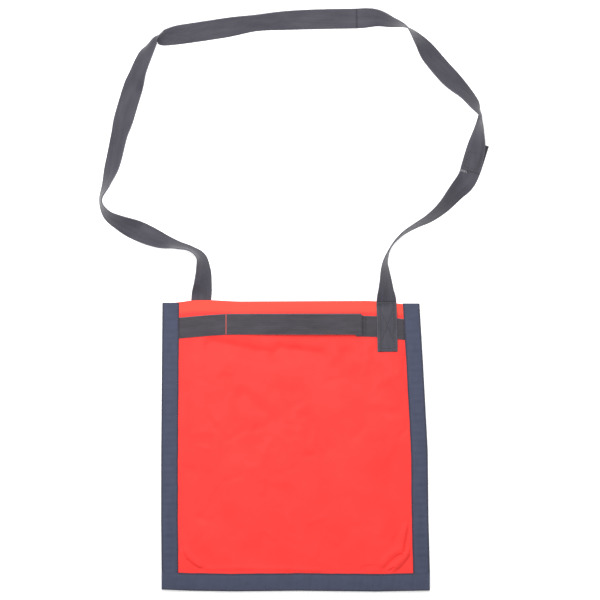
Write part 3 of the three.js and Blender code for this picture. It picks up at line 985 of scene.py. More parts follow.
def tape_section(width, back_low, front_low, puckered):
    """Depth from the fold and height of both skins, and the place across the tape."""
    bend = TAPE_THICK + TAPE_BEND_RADIUS
    leg = LEG_SHARES * width
    raised = puckered * np.sin(math.pi * np.clip((leg - bend) / (width - SEAM_INSET - bend), 0, 1))
    groove = GROOVE_DEPTH * np.exp(-(((leg - width + SEAM_INSET) / GROOVE_SPREAD) ** 2))
    skins = []
    for skin in (TAPE_THICK, 0.0):
        radius = TAPE_BEND_RADIUS + skin
        pressed = groove if skin else 0 * groove
        front_leg = np.stack([leg, front_low + skin - pressed + raised], -1)
        back_leg = np.stack([leg, back_low + TAPE_THICK - skin + pressed], -1)[::-1]
        turns = []
        for start, level in ((90, front_low - TAPE_BEND_RADIUS), (180, back_low + bend)):
            angle = math.radians(start) + BEND_ANGLES
            turns.append(
                np.stack([bend + radius * np.cos(angle), level + radius * np.sin(angle)], -1)
            )
        skins.append(np.concatenate([front_leg, *turns, back_leg]))
    steps = np.linalg.norm(np.diff(skins[0], axis=0), axis=1)
    across = np.concatenate([[0], np.cumsum(steps)])
    return skins[0], skins[1], (2 * across / across[-1] - 1) * TAPE_HALF_MM


print(f"puckers up to {PUCKER_HEIGHT} mm high, seam {SEAM_INSET} mm from the inner edge")

# %% [markdown]
# The section is repeated along the edges of the bag, at stations that say how wide it is, how high
# its legs lie and where it stands. The side tapes climb over the folded bottom, and the bottom tape
# slopes up onto their ends. The inner edges wander slightly, as a tape guided by hand does.

# %% Stations along the edges
TAPE_SECTIONS = 300
TAPE_LAP_SLOPE = 20
WANDER = 0.1
WANDER_LONG = 61.0
WANDER_SHORT = 23.0
WANDER_SHORT_SHARE = 0.6
# Angle in radians that each wave of the wander turns by in its own length.
WANDER_TURN = 6.0


def wander(along):
    """How far a tape's inner edge strays at a place along it."""
    slow = np.sin(along / WANDER_LONG * WANDER_TURN)
    quick = np.sin(along / WANDER_SHORT * WANDER_TURN)
    return WANDER * (slow + WANDER_SHORT_SHARE * quick)


def tape_mesh(name, stations):
    """A tape from stations: width, reach of painted edge shade, levels, place and the way inwards."""
    faces, backs, threads = [], [], []
    for along, width, edge_shade_to, back_low, front_low, place, inwards in stations:
        outer, inner, across = tape_section(width, back_low, front_low, pucker(along))
        stray = wander(along) / width
        for skin, rows in ((outer, faces), (inner, backs)):
            depth, height = skin[:, :1] * (1 + stray), skin[:, 1:]
            rows.append(np.concatenate([place + depth * inwards, height], 1))
        clipped_across = np.clip(across, -edge_shade_to, edge_shade_to)
        threads.append(np.stack([np.full(len(across), along), clipped_across], -1))
    return cloth_mesh(name, np.array(faces), np.array(backs), np.array(threads))


def side_stations(edge, inwards, top):
    """Sections of a side tape, from the bottom of the bag to the top of the tape."""
    bottom = float(bottom_edge(edge(CLIMB_END_Y))) + PANEL_INSET
    for y in np.linspace(bottom, top, TAPE_SECTIONS):
        back_low = float((TAPE_THICK + GAP) * climb(y))
        front_low = float(back_underside(y)) + 2 * (CLOTH_THICK + GAP)
        place = np.array([edge(y), y], float)
        yield y, SIDE_TAPE_WIDTH, TAPE_HALF_MM, back_low, front_low, place, np.array([inwards, 0])


def distance_from_side(x):
    return np.minimum(x - left_edge(CLIMB_END_Y), right_edge(CLIMB_END_Y) - x)


def bottom_front_low(x):
    """Level of the bottom tape's front leg, which slopes up onto the ends of the side tapes."""
    from_side = distance_from_side(x)
    over = 1 - smooth(from_side, SIDE_TAPE_WIDTH + GAP, SIDE_TAPE_WIDTH + TAPE_LAP_SLOPE)
    return BACK_LEVEL_AT_BOTTOM + 2 * (CLOTH_THICK + GAP) + (TAPE_THICK + GAP) * over


def bottom_stations():
    """Sections of the bottom tape. Its painted edge shade stops where it lies on the side tapes."""
    left, right = float(left_edge(CLIMB_END_Y)), float(right_edge(CLIMB_END_Y))
    for x in np.linspace(left, right, TAPE_SECTIONS):
        front_low = float(bottom_front_low(x))
        edge_shade_to = TAPE_HALF_MM
        # Tape on tape throws no shade, so the painted edge shade stops short there.
        if distance_from_side(x) < SIDE_TAPE_WIDTH:
            edge_shade_to -= TAPE_EDGE_SHADE_MM
        place = np.array([x, bottom_edge(x)], float)
        yield x, BOTTOM_TAPE_WIDTH, edge_shade_to, 0.0, front_low, place, np.array([0, 1])


print(TAPE_SECTIONS, "sections on each tape")

# %% [markdown]
# The side tapes are cut off just below the mouth, each at its own height. All three tapes are then
# made by the same two functions.

# %% Make the tapes
LEFT_TAPE_TOP = -3.5
RIGHT_TAPE_TOP = -4.4

tape_runs = {
    "binding_left": side_stations(left_edge, 1, LEFT_TAPE_TOP),
    "binding_right": side_stations(right_edge, -1, RIGHT_TAPE_TOP),
    "binding_bottom": bottom_stations(),
}
for node, stations in tape_runs.items():
    name = node + "_tape"
    add_piece(name, tape_mesh(name, stations), navy_tape)
    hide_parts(node)

# %% [markdown]
# ## The band across the front
#
# The band is sewn down at the left, stands free as a handle, is tucked back under itself once at
# the right and sewn down again under the strap's end. Its path is followed from the side, as a
# height above the front panel, so that it lies on every swell of the cloth. Its two ends meet the
# side tapes, only a hair apart, so that no red shows between.

# %% Path of the front band
BAND_LEFT_X_Y = [(-143, -35.1), (-108, -31.9), (-85, -30.4), (-64, -30.2), (90, -30.2)]
BAND_RIGHT_X_Y = [(78, -32.3), (102, -33.1), (128, -35.7), (137, -36.9)]
BAND_WIDTH = 26
BAND_END_GAP = 0.02
HANDLE_LEFT_X = -84
HANDLE_RISE = 4.5
TUCK_LEFT_X = 78
TUCK_RIGHT_X = 83.2
TUCK_LAYER = WEBBING_THICK + GAP
BAND_LEFT_STEPS = 30
HANDLE_STEPS = 90
TUCK_TURN_STEPS = 14
BAND_RIGHT_STEPS = 30


def band_left_y(x):
    return look_up(BAND_LEFT_X_Y, x)


def band_right_y(x):
    return look_up(BAND_RIGHT_X_Y, x)


def band_left_end(y):
    return left_edge(y) + SIDE_TAPE_WIDTH + BAND_END_GAP


def band_right_end(y):
    return right_edge(y) - SIDE_TAPE_WIDTH - BAND_END_GAP


def band_path():
    """Rows of x, y and lift of the band's middle line, from left to right along the webbing."""
    left_end = band_left_end(BAND_LEFT_X_Y[0][1])
    right_end = band_right_end(BAND_RIGHT_X_Y[-1][1])
    middle_y = (band_left_y(TUCK_RIGHT_X) + band_right_y(TUCK_RIGHT_X)) / 2
    radius = TUCK_LAYER / 2
    path = [(x, band_left_y(x), 0) for x in np.linspace(left_end, HANDLE_LEFT_X, BAND_LEFT_STEPS)]
    for share in np.linspace(0, 1, HANDLE_STEPS)[1:]:
        x = HANDLE_LEFT_X + share * (TUCK_RIGHT_X - HANDLE_LEFT_X)
        bow = HANDLE_RISE * math.sin(math.pi * share) ** 2
        path.append((x, band_left_y(x), 2 * TUCK_LAYER * smooth(share, 0, 1) + bow))
    turns = [
        (TUCK_RIGHT_X, middle_y, 2 * TUCK_LAYER - radius, 1),
        (TUCK_LEFT_X, band_right_y(TUCK_LEFT_X), radius, -1),
    ]
    for x, y, level, side in turns:
        for angle in np.linspace(0, math.pi, TUCK_TURN_STEPS)[1:]:
            path.append((x + side * radius * math.sin(angle), y, level + radius * math.cos(angle)))
    for x in np.linspace(TUCK_LEFT_X, right_end, BAND_RIGHT_STEPS)[1:]:
        path.append((x, band_right_y(x), 0))
    return np.array(path, float)


path = band_path()
length_along = np.concatenate([[0], np.cumsum(np.hypot(*np.diff(path[:, [0, 2]], axis=0).T))])
print(f"band of {length_along[-1]:.0f} mm of webbing")

# %% [markdown]
# The webbing is laid along that path as two grids of points, its face and its back. The points are
# closer together near the selvedges, where the edge is rounded. Where the band stands free it tips
# a little towards the bottom of the bag, away from the light, and looks darker there.

# %% Make the front band
HANDLE_TILT = math.radians(9)
HALF_SHARES = np.array([0.08, 0.22, 0.36, 0.43, 0.465, 0.5])
WEBBING_SHARES = np.concatenate([-HALF_SHARES[::-1], HALF_SHARES])

run = np.gradient(path[:, [0, 2]], axis=0)
run /= np.linalg.norm(run, axis=1, keepdims=True)
y = path[:, 1:2] + WEBBING_SHARES * BAND_WIDTH
x = np.repeat(path[:, :1], len(WEBBING_SHARES), axis=1)
x[0] = band_left_end(y[0])
x[-1] = band_right_end(y[-1])
free = np.sin(math.pi * smooth(path[:, :1], HANDLE_LEFT_X, TUCK_LEFT_X))
level = front_top(x, y) + GAP + WEBBING_THICK / 2 + path[:, 2:3]
level = level + free * math.tan(HANDLE_TILT) * (y - path[:, 1:2])
skins = []
for side in (WEBBING_THICK / 2, -WEBBING_THICK / 2):
    skins.append(np.stack([x - side * run[:, 1:], y, level + side * run[:, :1]], -1))
thread = np.stack(np.broadcast_arrays(length_along[:, None], WEBBING_SHARES * WEBBING_WIDTH), -1)
band_mesh = cloth_mesh("front_band_webbing", *skins, thread)
front_band = add_piece("front_band_webbing", band_mesh, band_webbing)
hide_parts("front_band")

# %% [markdown]
# ## The shoulder strap
#
# The strap is one ribbon of webbing in two lengths, sewn together at a join. A ribbon that lies in
# a loop can't bend flat in its own plane, so it tips up on its edge at each turn. Its route is a
# list of places. At each one, bank says how far the ribbon is turned about its length, curl how far
# it is rolled across its width, lift how high its lowest point is, and on_bag whether it lies on the
# front panel or on the table. Creases are places where it was pressed thin.

# %% Strap tables
LONG_STRAP = [
    {"x": -114.8, "y": -62, "bank": 0},
    {"x": -114.8, "y": 0.5, "bank": 0},
    {"x": -112.8, "y": 19.5, "bank": -26},
    {"x": -112.2, "y": 37, "bank": -43},
    {"x": -115.9, "y": 52.8, "bank": -62, "curl": -20},
    {"x": -128.8, "y": 61.6, "bank": -75, "curl": -45},
    {"x": -144.8, "y": 66.4, "bank": -66, "curl": -40},
    {"x": -166, "y": 74, "bank": -35},
    {"x": -191, "y": 84.5, "bank": 0},
    {"x": -213, "y": 94, "bank": 38},
    {"x": -231.3, "y": 105.4, "bank": 64},
    {"x": -239.4, "y": 122.5, "bank": 83},
    {"x": -232.6, "y": 143, "bank": 66},
    {"x": -224.6, "y": 168, "bank": 40},
    {"x": -216.6, "y": 203, "bank": 33},
    {"x": -209.2, "y": 230.5, "bank": 5},
    {"x": -201.1, "y": 257.5, "bank": 5},
    {"x": -193.2, "y": 281.5, "bank": 34},
    {"x": -184.3, "y": 304, "bank": 46, "curl": 20},
    {"x": -173, "y": 325, "bank": 90, "curl": 150},
    {"x": -160, "y": 326.4, "bank": 143, "curl": 60},
    {"x": -135, "y": 329.6, "bank": 165},
    {"x": -91.5, "y": 336.1, "bank": 167},
    {"x": -47, "y": 342.9, "bank": 144},
    {"x": -11, "y": 346, "bank": 159},
    {"x": 27.5, "y": 347.7, "bank": 172},
    {"x": 76, "y": 348.7, "bank": 178},
    {"x": 102, "y": 349.2, "bank": 148},
    {"x": 120, "y": 344.2, "bank": 120},
    {"x": 139.9, "y": 337.7, "bank": 90},
    {"x": 155.1, "y": 322, "bank": 56},
    {"x": 170.2, "y": 301.6, "bank": 23},
    {"x": 190.3, "y": 278.2, "bank": 18},
    {"x": 213.2, "y": 255.5, "bank": 47},
    {"x": 223.6, "y": 242.4, "bank": 58},
    {"x": 232, "y": 229, "bank": 91, "curl": 60, "lift": 0.5},
    {"x": 228.3, "y": 205.5, "bank": 126, "lift": 2.0},
    {"x": 225.2, "y": 186, "bank": 160, "lift": 2.0},
    {"x": 218.1, "y": 159, "bank": 180, "lift": 1.8},
]
SHORT_STRAP = [
    {"x": 230, "y": 194, "bank": 0},
    {"x": 218.4, "y": 158.5, "bank": 0},
    {"x": 212.4, "y": 146.5, "bank": 8},
    {"x": 200.6, "y": 133, "bank": 33},
    {"x": 184.8, "y": 114.9, "bank": 53},
    {"x": 168.3, "y": 101.5, "bank": 66},
    {"x": 150.3, "y": 91.6, "bank": 77},
    {"x": 134.5, "y": 81.5, "bank": 83},
    {"x": 120.5, "y": 66, "bank": 88},
    {"x": 113.2, "y": 47, "bank": 77},
    {"x": 112.9, "y": 36.5, "bank": 65},
    {"x": 113.7, "y": 23, "bank": 52, "on_bag": 0.2},
    {"x": 114, "y": 12, "bank": 38, "on_bag": 0.6},
    {"x": 114.5, "y": 1, "bank": 14, "on_bag": 1},
    {"x": 114.8, "y": -10, "bank": 0, "lift": 0.2, "on_bag": 1},
    {"x": 115.1, "y": -19, "bank": 0, "lift": 1.9, "on_bag": 1},
    {"x": 115.6, "y": -35, "bank": 0, "lift": 1.9, "on_bag": 1},
    {"x": 115.9, "y": -51, "bank": 0, "lift": 1.9, "on_bag": 1},
    {"x": 116.1, "y": -64.5, "bank": 0, "on_bag": 1},
]
LONG_CREASES = [(78, 348.7)]
SHORT_CREASES = [(114.6, -2.7)]
print(len(LONG_STRAP), "places on the long strap,", len(SHORT_STRAP), "on the short one")

# %% [markdown]
# Two kinds of curve pass through those places. The route is a centripetal Catmull-Rom curve, which
# never loops between close points. The other columns use a curve that never passes its own rows'
# values, so a stretch that is flat in the table stays flat.

# %% Curves through the tables
def route_curve(places, shares):
    """Points of a centripetal Catmull-Rom curve through places, at shares of the way along."""
    ends = [2 * places[0] - places[1]], [2 * places[-1] - places[-2]]
    padded = np.concatenate([ends[0], places, ends[1]])
    along = shares * (len(places) - 1)
    start = np.minimum(along.astype(int), len(places) - 2)
    part = (along - start)[:, None]
    p0, p1, p2, p3 = (padded[start + offset] for offset in range(4))
    chords = (p1 - p0, p2 - p1, p3 - p2)
    t0, t1, t2 = (np.sqrt(np.linalg.norm(chord, axis=1, keepdims=True)) for chord in chords)
    leave = t1 * ((p1 - p0) / t0 - (p2 - p0) / (t0 + t1) + (p2 - p1) / t1)
    arrive = t1 * ((p2 - p1) / t1 - (p3 - p1) / (t1 + t2) + (p3 - p2) / t2)
    bend = 3 * (p2 - p1) - 2 * leave - arrive
    turn = 2 * (p1 - p2) + leave + arrive
    return p1 + leave * part + bend * part**2 + turn * part**3


def column_curve(rows, column, shares):
    """A column's values at shares of the way along, smooth and never past the rows' own values."""
    values = np.array([row.get(column, 0) for row in rows], float)
    rise = np.diff(values)
    slopes = np.zeros(len(values))
    same_way = rise[:-1] * rise[1:] > 0
    mean = 2 * rise[:-1] * rise[1:] / np.where(same_way, rise[:-1] + rise[1:], 1)
    slopes[1:-1] = np.where(same_way, mean, 0)
    along = shares * (len(values) - 1)
    start = np.minimum(along.astype(int), len(values) - 2)
    part = along - start
    even = values[start] + rise[start] * smooth(part, 0, 1)
    return even + part * (1 - part) * (slopes[start] * (1 - part) - slopes[start + 1] * part)


halfway = column_curve(SHORT_STRAP, "bank", np.array([0.5]))[0]
print(f"the short strap is banked by {halfway:.0f} degrees halfway along")

# %% [markdown]
# With the curves, the ribbon can be laid out: across it, its points lie on a line that bank turns and
# curl rolls up, and then the whole section drops until its lowest point touches what it lies on. A
# crease is a few sections close together, pressed thin.

# %% Faces of a strap
STEPS_PER_ROW = 20
CREASE_STEPS = 24
CREASE_REACH = 0.15
CREASE_PRESS = 0.8
CREASE_SPREAD = 0.8
SHARE_DIGITS = 6


def strap_shares(places, creases):
    """Shares of the way along a strap where it gets a section, which are closer at creases."""
    stretches = len(places) - 1
    even = np.linspace(0, 1, stretches * STEPS_PER_ROW + 1)
    route = route_curve(places, even)
    close = []
    for crease in creases:
        nearest = even[np.argmin(np.hypot(*(route - crease).T))]
        reach = CREASE_REACH / stretches
        close.append(np.linspace(nearest - reach, nearest + reach, CREASE_STEPS))
    return np.unique(np.concatenate([even, *close]).round(SHARE_DIGITS))


def strap_skins(rows, creases):
    """Both faces of a strap as grids of points, and the length along its middle."""
    places = np.array([(row["x"], row["y"]) for row in rows], float)
    shares = strap_shares(places, creases)
    route = route_curve(places, shares)
    heading = np.gradient(route, axis=0)
    heading /= np.linalg.norm(heading, axis=1, keepdims=True)
    bank, curl = (np.radians(column_curve(rows, name, shares)) for name in ("bank", "curl"))
    right = np.stack([heading[:, 1], -heading[:, 0]], -1)
    across = np.concatenate([right * np.cos(bank)[:, None], np.sin(bank)[:, None]], 1)
    through = np.concatenate([right * -np.sin(bank)[:, None], np.cos(bank)[:, None]], 1)
    turned = curl[:, None] * WEBBING_SHARES
    sideways = WEBBING_WIDTH * WEBBING_SHARES * np.sinc(turned / math.pi)
    drop = WEBBING_WIDTH * WEBBING_SHARES * np.sinc(turned / 2 / math.pi) * np.sin(turned / 2)
    middle = np.concatenate([route, np.zeros((len(route), 1))], 1)[:, None]
    points = middle + across[:, None] * sideways[..., None] - through[:, None] * drop[..., None]
    normal = through[:, None] * np.cos(turned)[..., None]
    normal = normal + across[:, None] * np.sin(turned)[..., None]
    steps = np.linalg.norm(np.diff(route, axis=0), axis=1)
    lengths = np.concatenate([[0], np.cumsum(steps)])
    half_thick = np.full(len(route), WEBBING_THICK / 2)
    for crease in creases:
        at = lengths[np.argmin(np.hypot(*(route - crease).T))]
        half_thick *= 1 - CREASE_PRESS * np.exp(-(((lengths - at) / CREASE_SPREAD) ** 2))
    skins = [points + normal * side * half_thick[:, None, None] for side in (1, -1)]
    lowest = np.minimum(skins[0][..., 2].min(1), skins[1][..., 2].min(1))
    rise = column_curve(rows, "lift", shares) - lowest
    on_bag = column_curve(rows, "on_bag", shares)[:, None]
    for skin in skins:
        skin[..., 2] += rise[:, None] + on_bag * (front_top(skin[..., 0], skin[..., 1]) + GAP)
    return skins[0], skins[1], lengths


print(STEPS_PER_ROW, "sections for each row of a strap's table,", CREASE_STEPS, "more at a crease")

# %% [markdown]
# Both lengths are made from their tables with the same cloth mesh as the panels. The thread map runs
# along the webbing, so that its ribs follow every twist. The faces are kept for the stitches.

# %% Make the straps
strap_faces = {}
strap_tables = {
    "shoulder_strap_long": (LONG_STRAP, LONG_CREASES),
    "shoulder_strap_short": (SHORT_STRAP, SHORT_CREASES),
}
for node, tables in strap_tables.items():
    face, back, along = strap_skins(*tables)
    thread = np.stack(np.broadcast_arrays(along[:, None], WEBBING_SHARES * WEBBING_WIDTH), -1)
    name = node + "_webbing"
    mesh = cloth_mesh(name, face, back, thread)
    add_piece(name, mesh, strap_webbing)
    strap_faces[node] = (face, back, along)
    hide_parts(node)
    print(f"{name}: {along[-1]:.0f} mm of webbing")

# %% [markdown]
# ## Stitches
#
# A lockstitch shows as a row of short arched threads with small gaps where the needle went through.
# They could be painted as dashes, but real little threads catch light and stay sharp from any side.
# One small arched thread is made once and copied along each seam by arithmetic, and all the stitches
# of one colour become one mesh.

# %% Stitch helpers
STITCH_LONG = 2.7
STITCH_PITCH = 3.3
STITCH_THICK = 0.55
STITCH_ARCH = 0.35
STITCH_RINGS = 6
STITCH_SIDES = 6
STITCH_TAPER_POWER = 4
STITCH_TIP = 0.1
# Half the length over which a stitch's direction is measured on its seam.
HEADING_REACH = 0.5


def one_stitch():
    """Points of one arched thread: along, sideways and up, and its faces and thread places."""
    along = np.linspace(-0.5, 0.5, STITCH_RINGS)
    taper = np.sqrt(np.clip(1 - (2 * along) ** STITCH_TAPER_POWER, STITCH_TIP, 1))
    arch = STITCH_ARCH * (1 - (2 * along) ** 2)
    angle = np.linspace(0, 2 * math.pi, STITCH_SIDES, endpoint=False)
    sideways = taper[:, None] * np.cos(angle) / 2
    up = taper[:, None] * np.sin(angle) / 2 + arch[:, None]
    points = np.stack([np.repeat(along[:, None], STITCH_SIDES, 1), sideways, up], -1)
    thread = np.stack(np.broadcast_arrays(along[:, None] * STITCH_LONG, angle / math.pi), -1)
    ring = np.arange(STITCH_RINGS * STITCH_SIDES).reshape(STITCH_RINGS, STITCH_SIDES)
    here, there = ring[:-1], ring[1:]
    faces = np.stack([here, there, np.roll(there, -1, 1), np.roll(here, -1, 1)], -1).reshape(-1, 4)
    ends = []
    for cap in (ring[0], ring[-1, ::-1]):
        ends += [[cap[0], cap[1], cap[2], cap[3]], [cap[0], cap[3], cap[4], cap[5]]]
    return points.reshape(-1, 3), np.concatenate([faces, ends]), thread.reshape(-1, 2)


def even_places(line, pitch):
    """Centres and directions of stitches spread evenly along a line of points."""
    line = np.asarray(line, float)
    steps = np.linalg.norm(np.diff(line, axis=0), axis=1)
    along = np.concatenate([[0], np.cumsum(steps)])
    count = max(1, int(along[-1] / pitch))
    at = (np.arange(count) + 0.5) * along[-1] / count
    behind, point, ahead = (
        np.stack([np.interp(at + shift, along, line[:, axis]) for axis in range(3)], -1)
        for shift in (-HEADING_REACH, 0, HEADING_REACH)
    )
    heading = ahead - behind
    return point, heading / np.linalg.norm(heading, axis=1, keepdims=True)


def stitch_row(line, normal, long=STITCH_LONG, pitch=STITCH_PITCH, thick=STITCH_THICK):
    """Places, directions and sizes of the stitches of one row that lies on a face."""
    point, heading = even_places(line, pitch)
    normal = np.broadcast_to(np.asarray(normal, float), point.shape)
    side = np.cross(normal, heading)
    side /= np.linalg.norm(side, axis=1, keepdims=True)
    size = np.broadcast_to([long, thick, thick], point.shape)
    return point, heading, side, np.cross(heading, side), size


def add_stitches(name, rows, material):
    """All rows of one colour as one piece."""
    shape, faces, thread = one_stitch()
    joined = [np.concatenate(part) for part in zip(*rows)]
    point, heading, side, up, size = (part[:, None] for part in joined)
    local = shape[None] * size
    points = point + heading * local[..., :1] + side * local[..., 1:2] + up * local[..., 2:]
    count = len(points)
    offset = np.arange(count)[:, None, None] * len(shape)
    all_faces = (faces[None] + offset).reshape(-1, 4)
    points = points.reshape(-1, 3)
    mesh = make_mesh(name, points, outward_faces(points, all_faces), np.tile(thread, (count, 1)))
    print(count, "stitches in", name)
    return add_piece(name, mesh, material)


print(f"a stitch of {STITCH_LONG} mm every {STITCH_PITCH} mm")

# %% [markdown]
# The tapes are sewn once all round, close to their inner edge, through to the back. The hem has a
# row of its own in red, which the band mostly covers.

# %% Sew the tapes and the hem
UP = (0, 0, 1)
DOWN = (0, 0, -1)
SEAM_POINTS = 160
SEAM_END_GAP = 2
HEM_SEAM = 15.4
HEM_END_GAP = 1


def side_seam(edge, inwards, top, front):
    """Points along a side tape's seam, on its front leg or its back leg."""
    low = float(bottom_edge(edge(CLIMB_END_Y))) + BOTTOM_TAPE_WIDTH
    width = SIDE_TAPE_WIDTH
    y = np.linspace(low, top - SEAM_END_GAP, SEAM_POINTS)
    x = edge(y) + inwards * (width - SEAM_INSET) * (1 + wander(y) / width)
    if front:
        z = back_underside(y) + 2 * (CLOTH_THICK + GAP) + TAPE_THICK - GROOVE_DEPTH
    else:
        z = (TAPE_THICK + GAP) * climb(y) + GROOVE_DEPTH
    return np.stack([x, y, z], -1)


def bottom_seam(front):
    """Points along the bottom tape's seam, on its front leg or its back leg."""
    left = left_edge(CLIMB_END_Y) + SEAM_END_GAP
    right = right_edge(CLIMB_END_Y) - SEAM_END_GAP
    x = np.linspace(left, right, SEAM_POINTS)
    width = BOTTOM_TAPE_WIDTH
    y = bottom_edge(x) + (width - SEAM_INSET) * (1 + wander(x) / width)
    z = bottom_front_low(x) + TAPE_THICK - GROOVE_DEPTH if front else np.full(len(x), GROOVE_DEPTH)
    return np.stack([x, y, z], -1)


tape_rows = []
for front, normal in ((True, UP), (False, DOWN)):
    seams = [
        side_seam(left_edge, 1, LEFT_TAPE_TOP, front),
        side_seam(right_edge, -1, RIGHT_TAPE_TOP, front),
        bottom_seam(front),
    ]
    tape_rows += [stitch_row(seam, normal) for seam in seams]
tape_stitches = add_stitches("tape_stitches", tape_rows, slate_thread)

left, right, _ = tape_edges(0.0, -HEM_SEAM)
x = np.linspace(left + HEM_END_GAP, right - HEM_END_GAP, SEAM_POINTS)
y = mouth_edge(x) - HEM_SEAM
hem_line = np.stack([x, y, front_top(x, y)], -1)
hem_stitches = add_stitches("hem_stitches", [stitch_row(hem_line, UP)], red_thread)

# %% [markdown]
# Both ends of the strap are sewn with a box and a cross, the strongest way to join webbing to
# cloth. The join in the strap has a plain box. A row of dark thread along its cut edge, which stops
# short of the far side, is painted shadow: it stands for the shade that the cut end throws on the
# short strap. The lines are drawn on the webbing itself, as a length along it and a distance from its
# middle, and then found on its face. Thread for webbing is about 0.5 mm thick and is drawn at 0.8 mm,
# or it would be lost in the picture. Where the bag lies on its stitches they are pressed in.

# %% Sew the straps
BOX_HALF_WIDTH = 8.3
LINE_POINTS = 24
STRAP_THREAD = 0.8
PRESSED_IN = 0.45
FRONT_BOX = (60, 4.5)
FRONT_CROSS = (54, 12)
BACK_BOX = (4, 40)
JOIN_BOX = (24, 4)
# A row of dark stitches along the cut end: painted shadow of that end on the short strap.
JOIN_SHADOW_ROW_BACK = 1.0
JOIN_SHADOW_ROW_REACH = (-11.5, 3.5)


def on_webbing(skin, lengths, along, across):
    """The point of a strap's face at a length along it and a distance from its middle."""
    section = [
        [np.interp(along, lengths, skin[:, column, axis]) for column in range(len(WEBBING_SHARES))]
        for axis in range(3)
    ]
    return [np.interp(across, WEBBING_SHARES * WEBBING_WIDTH, values) for values in section]


def webbing_line(skin, lengths, start, end):
    """Points along a straight line on a strap's face."""
    along = np.linspace(start[0], end[0], LINE_POINTS)
    across = np.linspace(start[1], end[1], LINE_POINTS)
    return [on_webbing(skin, lengths, *place) for place in zip(along, across)]


def box_lines(low, high):
    """The four sides of a box between two lengths along a strap."""
    side = BOX_HALF_WIDTH
    corners = [(low, -side), (low, side), (high, side), (high, -side)]
    return list(zip(corners, corners[1:] + corners[:1]))


def cross_lines(low, high):
    """The two strokes of a cross between two lengths along a strap."""
    side = BOX_HALF_WIDTH
    return [((low, -side), (high, side)), ((low, side), (high, -side))]


def back_from(end, places):
    """Lengths along a strap of places that are given as lengths back from its end."""
    return [end - place for place in places]


long_face, long_back, long_lengths = strap_faces["shoulder_strap_long"]
short_face, _, short_lengths = strap_faces["shoulder_strap_short"]
long_end, short_end = long_lengths[-1], short_lengths[-1]
edge_shadow_row = [(long_end - JOIN_SHADOW_ROW_BACK, across) for across in JOIN_SHADOW_ROW_REACH]
seams = [
    (short_face, short_lengths, UP, box_lines(*back_from(short_end, FRONT_BOX))),
    (short_face, short_lengths, UP, cross_lines(*back_from(short_end, FRONT_CROSS))),
    (long_back, long_lengths, DOWN, box_lines(*BACK_BOX)),
    (long_back, long_lengths, DOWN, cross_lines(*BACK_BOX)),
    (long_back, long_lengths, UP, box_lines(*back_from(long_end, JOIN_BOX))),
    (long_back, long_lengths, UP, [edge_shadow_row]),
]
webbing_rows = []
for skin, lengths, normal, lines in seams:
    for line in lines:
        points = np.array(webbing_line(skin, lengths, *line))
        if normal is DOWN:
            points[:, 2] += PRESSED_IN
        webbing_rows.append(stitch_row(points, normal, thick=STRAP_THREAD))
print(len(webbing_rows), "rows of stitches on the straps")

# %% [markdown]
# The handle is held by bar tacks, which are many short stitches laid side by side across the
# webbing. The left one is narrow, close and red. The right one, half hidden by the handle's fold, is
# wider and more open, in grey thread that shows only as a soft dark patch. Its width is also painted
# shade: it stands for the shadow that the fold's end throws there.

# %% Tack the band
TACK_SHARE = 0.94
TACK_REACH = TACK_SHARE * BAND_WIDTH
TACK_THICK = 0.6
TACK_POINTS = 30
LEFT_TACK = {"long": 1.4, "pitch": 0.55}
# Drawn wide, so that its dark thread also stands for the shadow of the fold's end.
RIGHT_TACK = {"long": 4.2, "pitch": 1.5}
RIGHT_TACK_X = 88.0


def bar_tack(x, y, sizes):
    """Short stitches side by side across the band at one x, where its middle is at y."""
    places = y + np.linspace(-TACK_REACH / 2, TACK_REACH / 2, TACK_POINTS)
    line = [(x, place, float(front_top(x, place)) + GAP + WEBBING_THICK) for place in places]
    point, heading, side, up, size = stitch_row(line, UP, thick=TACK_THICK, **sizes)
    return point, side, -heading, up, size


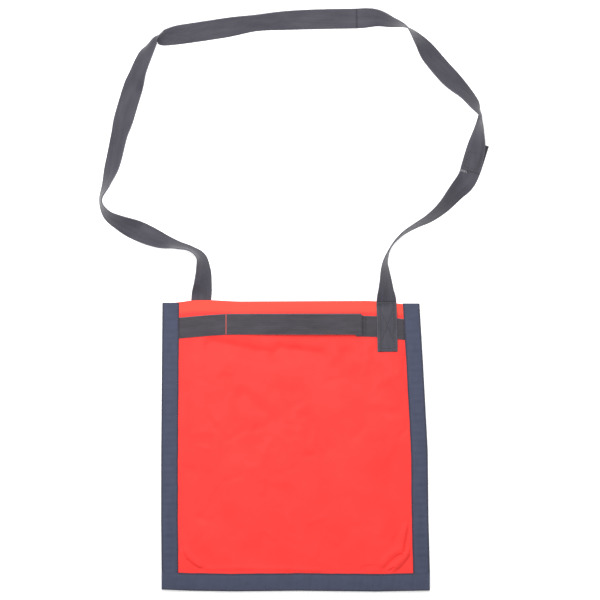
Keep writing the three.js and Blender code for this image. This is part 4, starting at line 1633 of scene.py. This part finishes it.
webbing_rows.append(bar_tack(RIGHT_TACK_X, float(band_right_y(RIGHT_TACK_X)), RIGHT_TACK))
webbing_stitches = add_stitches("webbing_stitches", webbing_rows, grey_thread)
left_tack = bar_tack(HANDLE_LEFT_X, float(band_left_y(HANDLE_LEFT_X)), LEFT_TACK)
handle_tack = add_stitches("handle_bar_tack", [left_tack], tack_thread)

# %% [markdown]
# ## A frayed corner
#
# Webbing is cut with a hot knife, but a few yarns always work loose, most at the corner of a cut.
# Here that is the left corner of the long strap's end. Hair particles would need thousands of strands
# for it. Some dozens of thin bent yarns, made with the same little thread as the stitches and thrown
# about by a seeded random generator, are enough.

# %% Fray the corner of the join
FRAY_SEED = 11
YARN_COUNT = 60
YARN_THICK = 0.3
YARN_LONG_RANGE = (1.6, 4.6)
YARN_SPREAD = 0.55
FRAYED_PLACES = (-12.4, -4.5)

fray = np.random.default_rng(FRAY_SEED)


def frayed_corner():
    """Loose yarns that stand out of the end of the long strap."""
    middle = (long_face + long_back) / 2
    place = fray.uniform(*FRAYED_PLACES, YARN_COUNT)
    columns = WEBBING_SHARES * WEBBING_WIDTH
    root = np.stack([np.interp(place, columns, middle[-1, :, axis]) for axis in range(3)], -1)
    out = (middle[-1] - middle[-2]).mean(0)
    out /= np.linalg.norm(out)
    heading = out + fray.normal(0, YARN_SPREAD, (YARN_COUNT, 3))
    heading[:, 2] = np.abs(heading[:, 2]) / 2
    heading /= np.linalg.norm(heading, axis=1, keepdims=True)
    long = fray.uniform(*YARN_LONG_RANGE, YARN_COUNT)
    side = np.cross(np.broadcast_to(UP, heading.shape), heading)
    side /= np.linalg.norm(side, axis=1, keepdims=True)
    thick = np.full(YARN_COUNT, YARN_THICK)
    point = root + heading * (long[:, None] / 2 - YARN_THICK)
    return point, heading, side, np.cross(heading, side), np.stack([long, thick, thick], -1)


loose_yarns = add_stitches("loose_yarns", [frayed_corner()], loose_yarn)

# %% [markdown]
# ## Cloth that was cut flat
#
# The panels and tapes are sheets that were cut flat and then sewn. Cloth hardly stretches, so
# their area now is close to their area then.

print("the panels and tapes were cut flat")
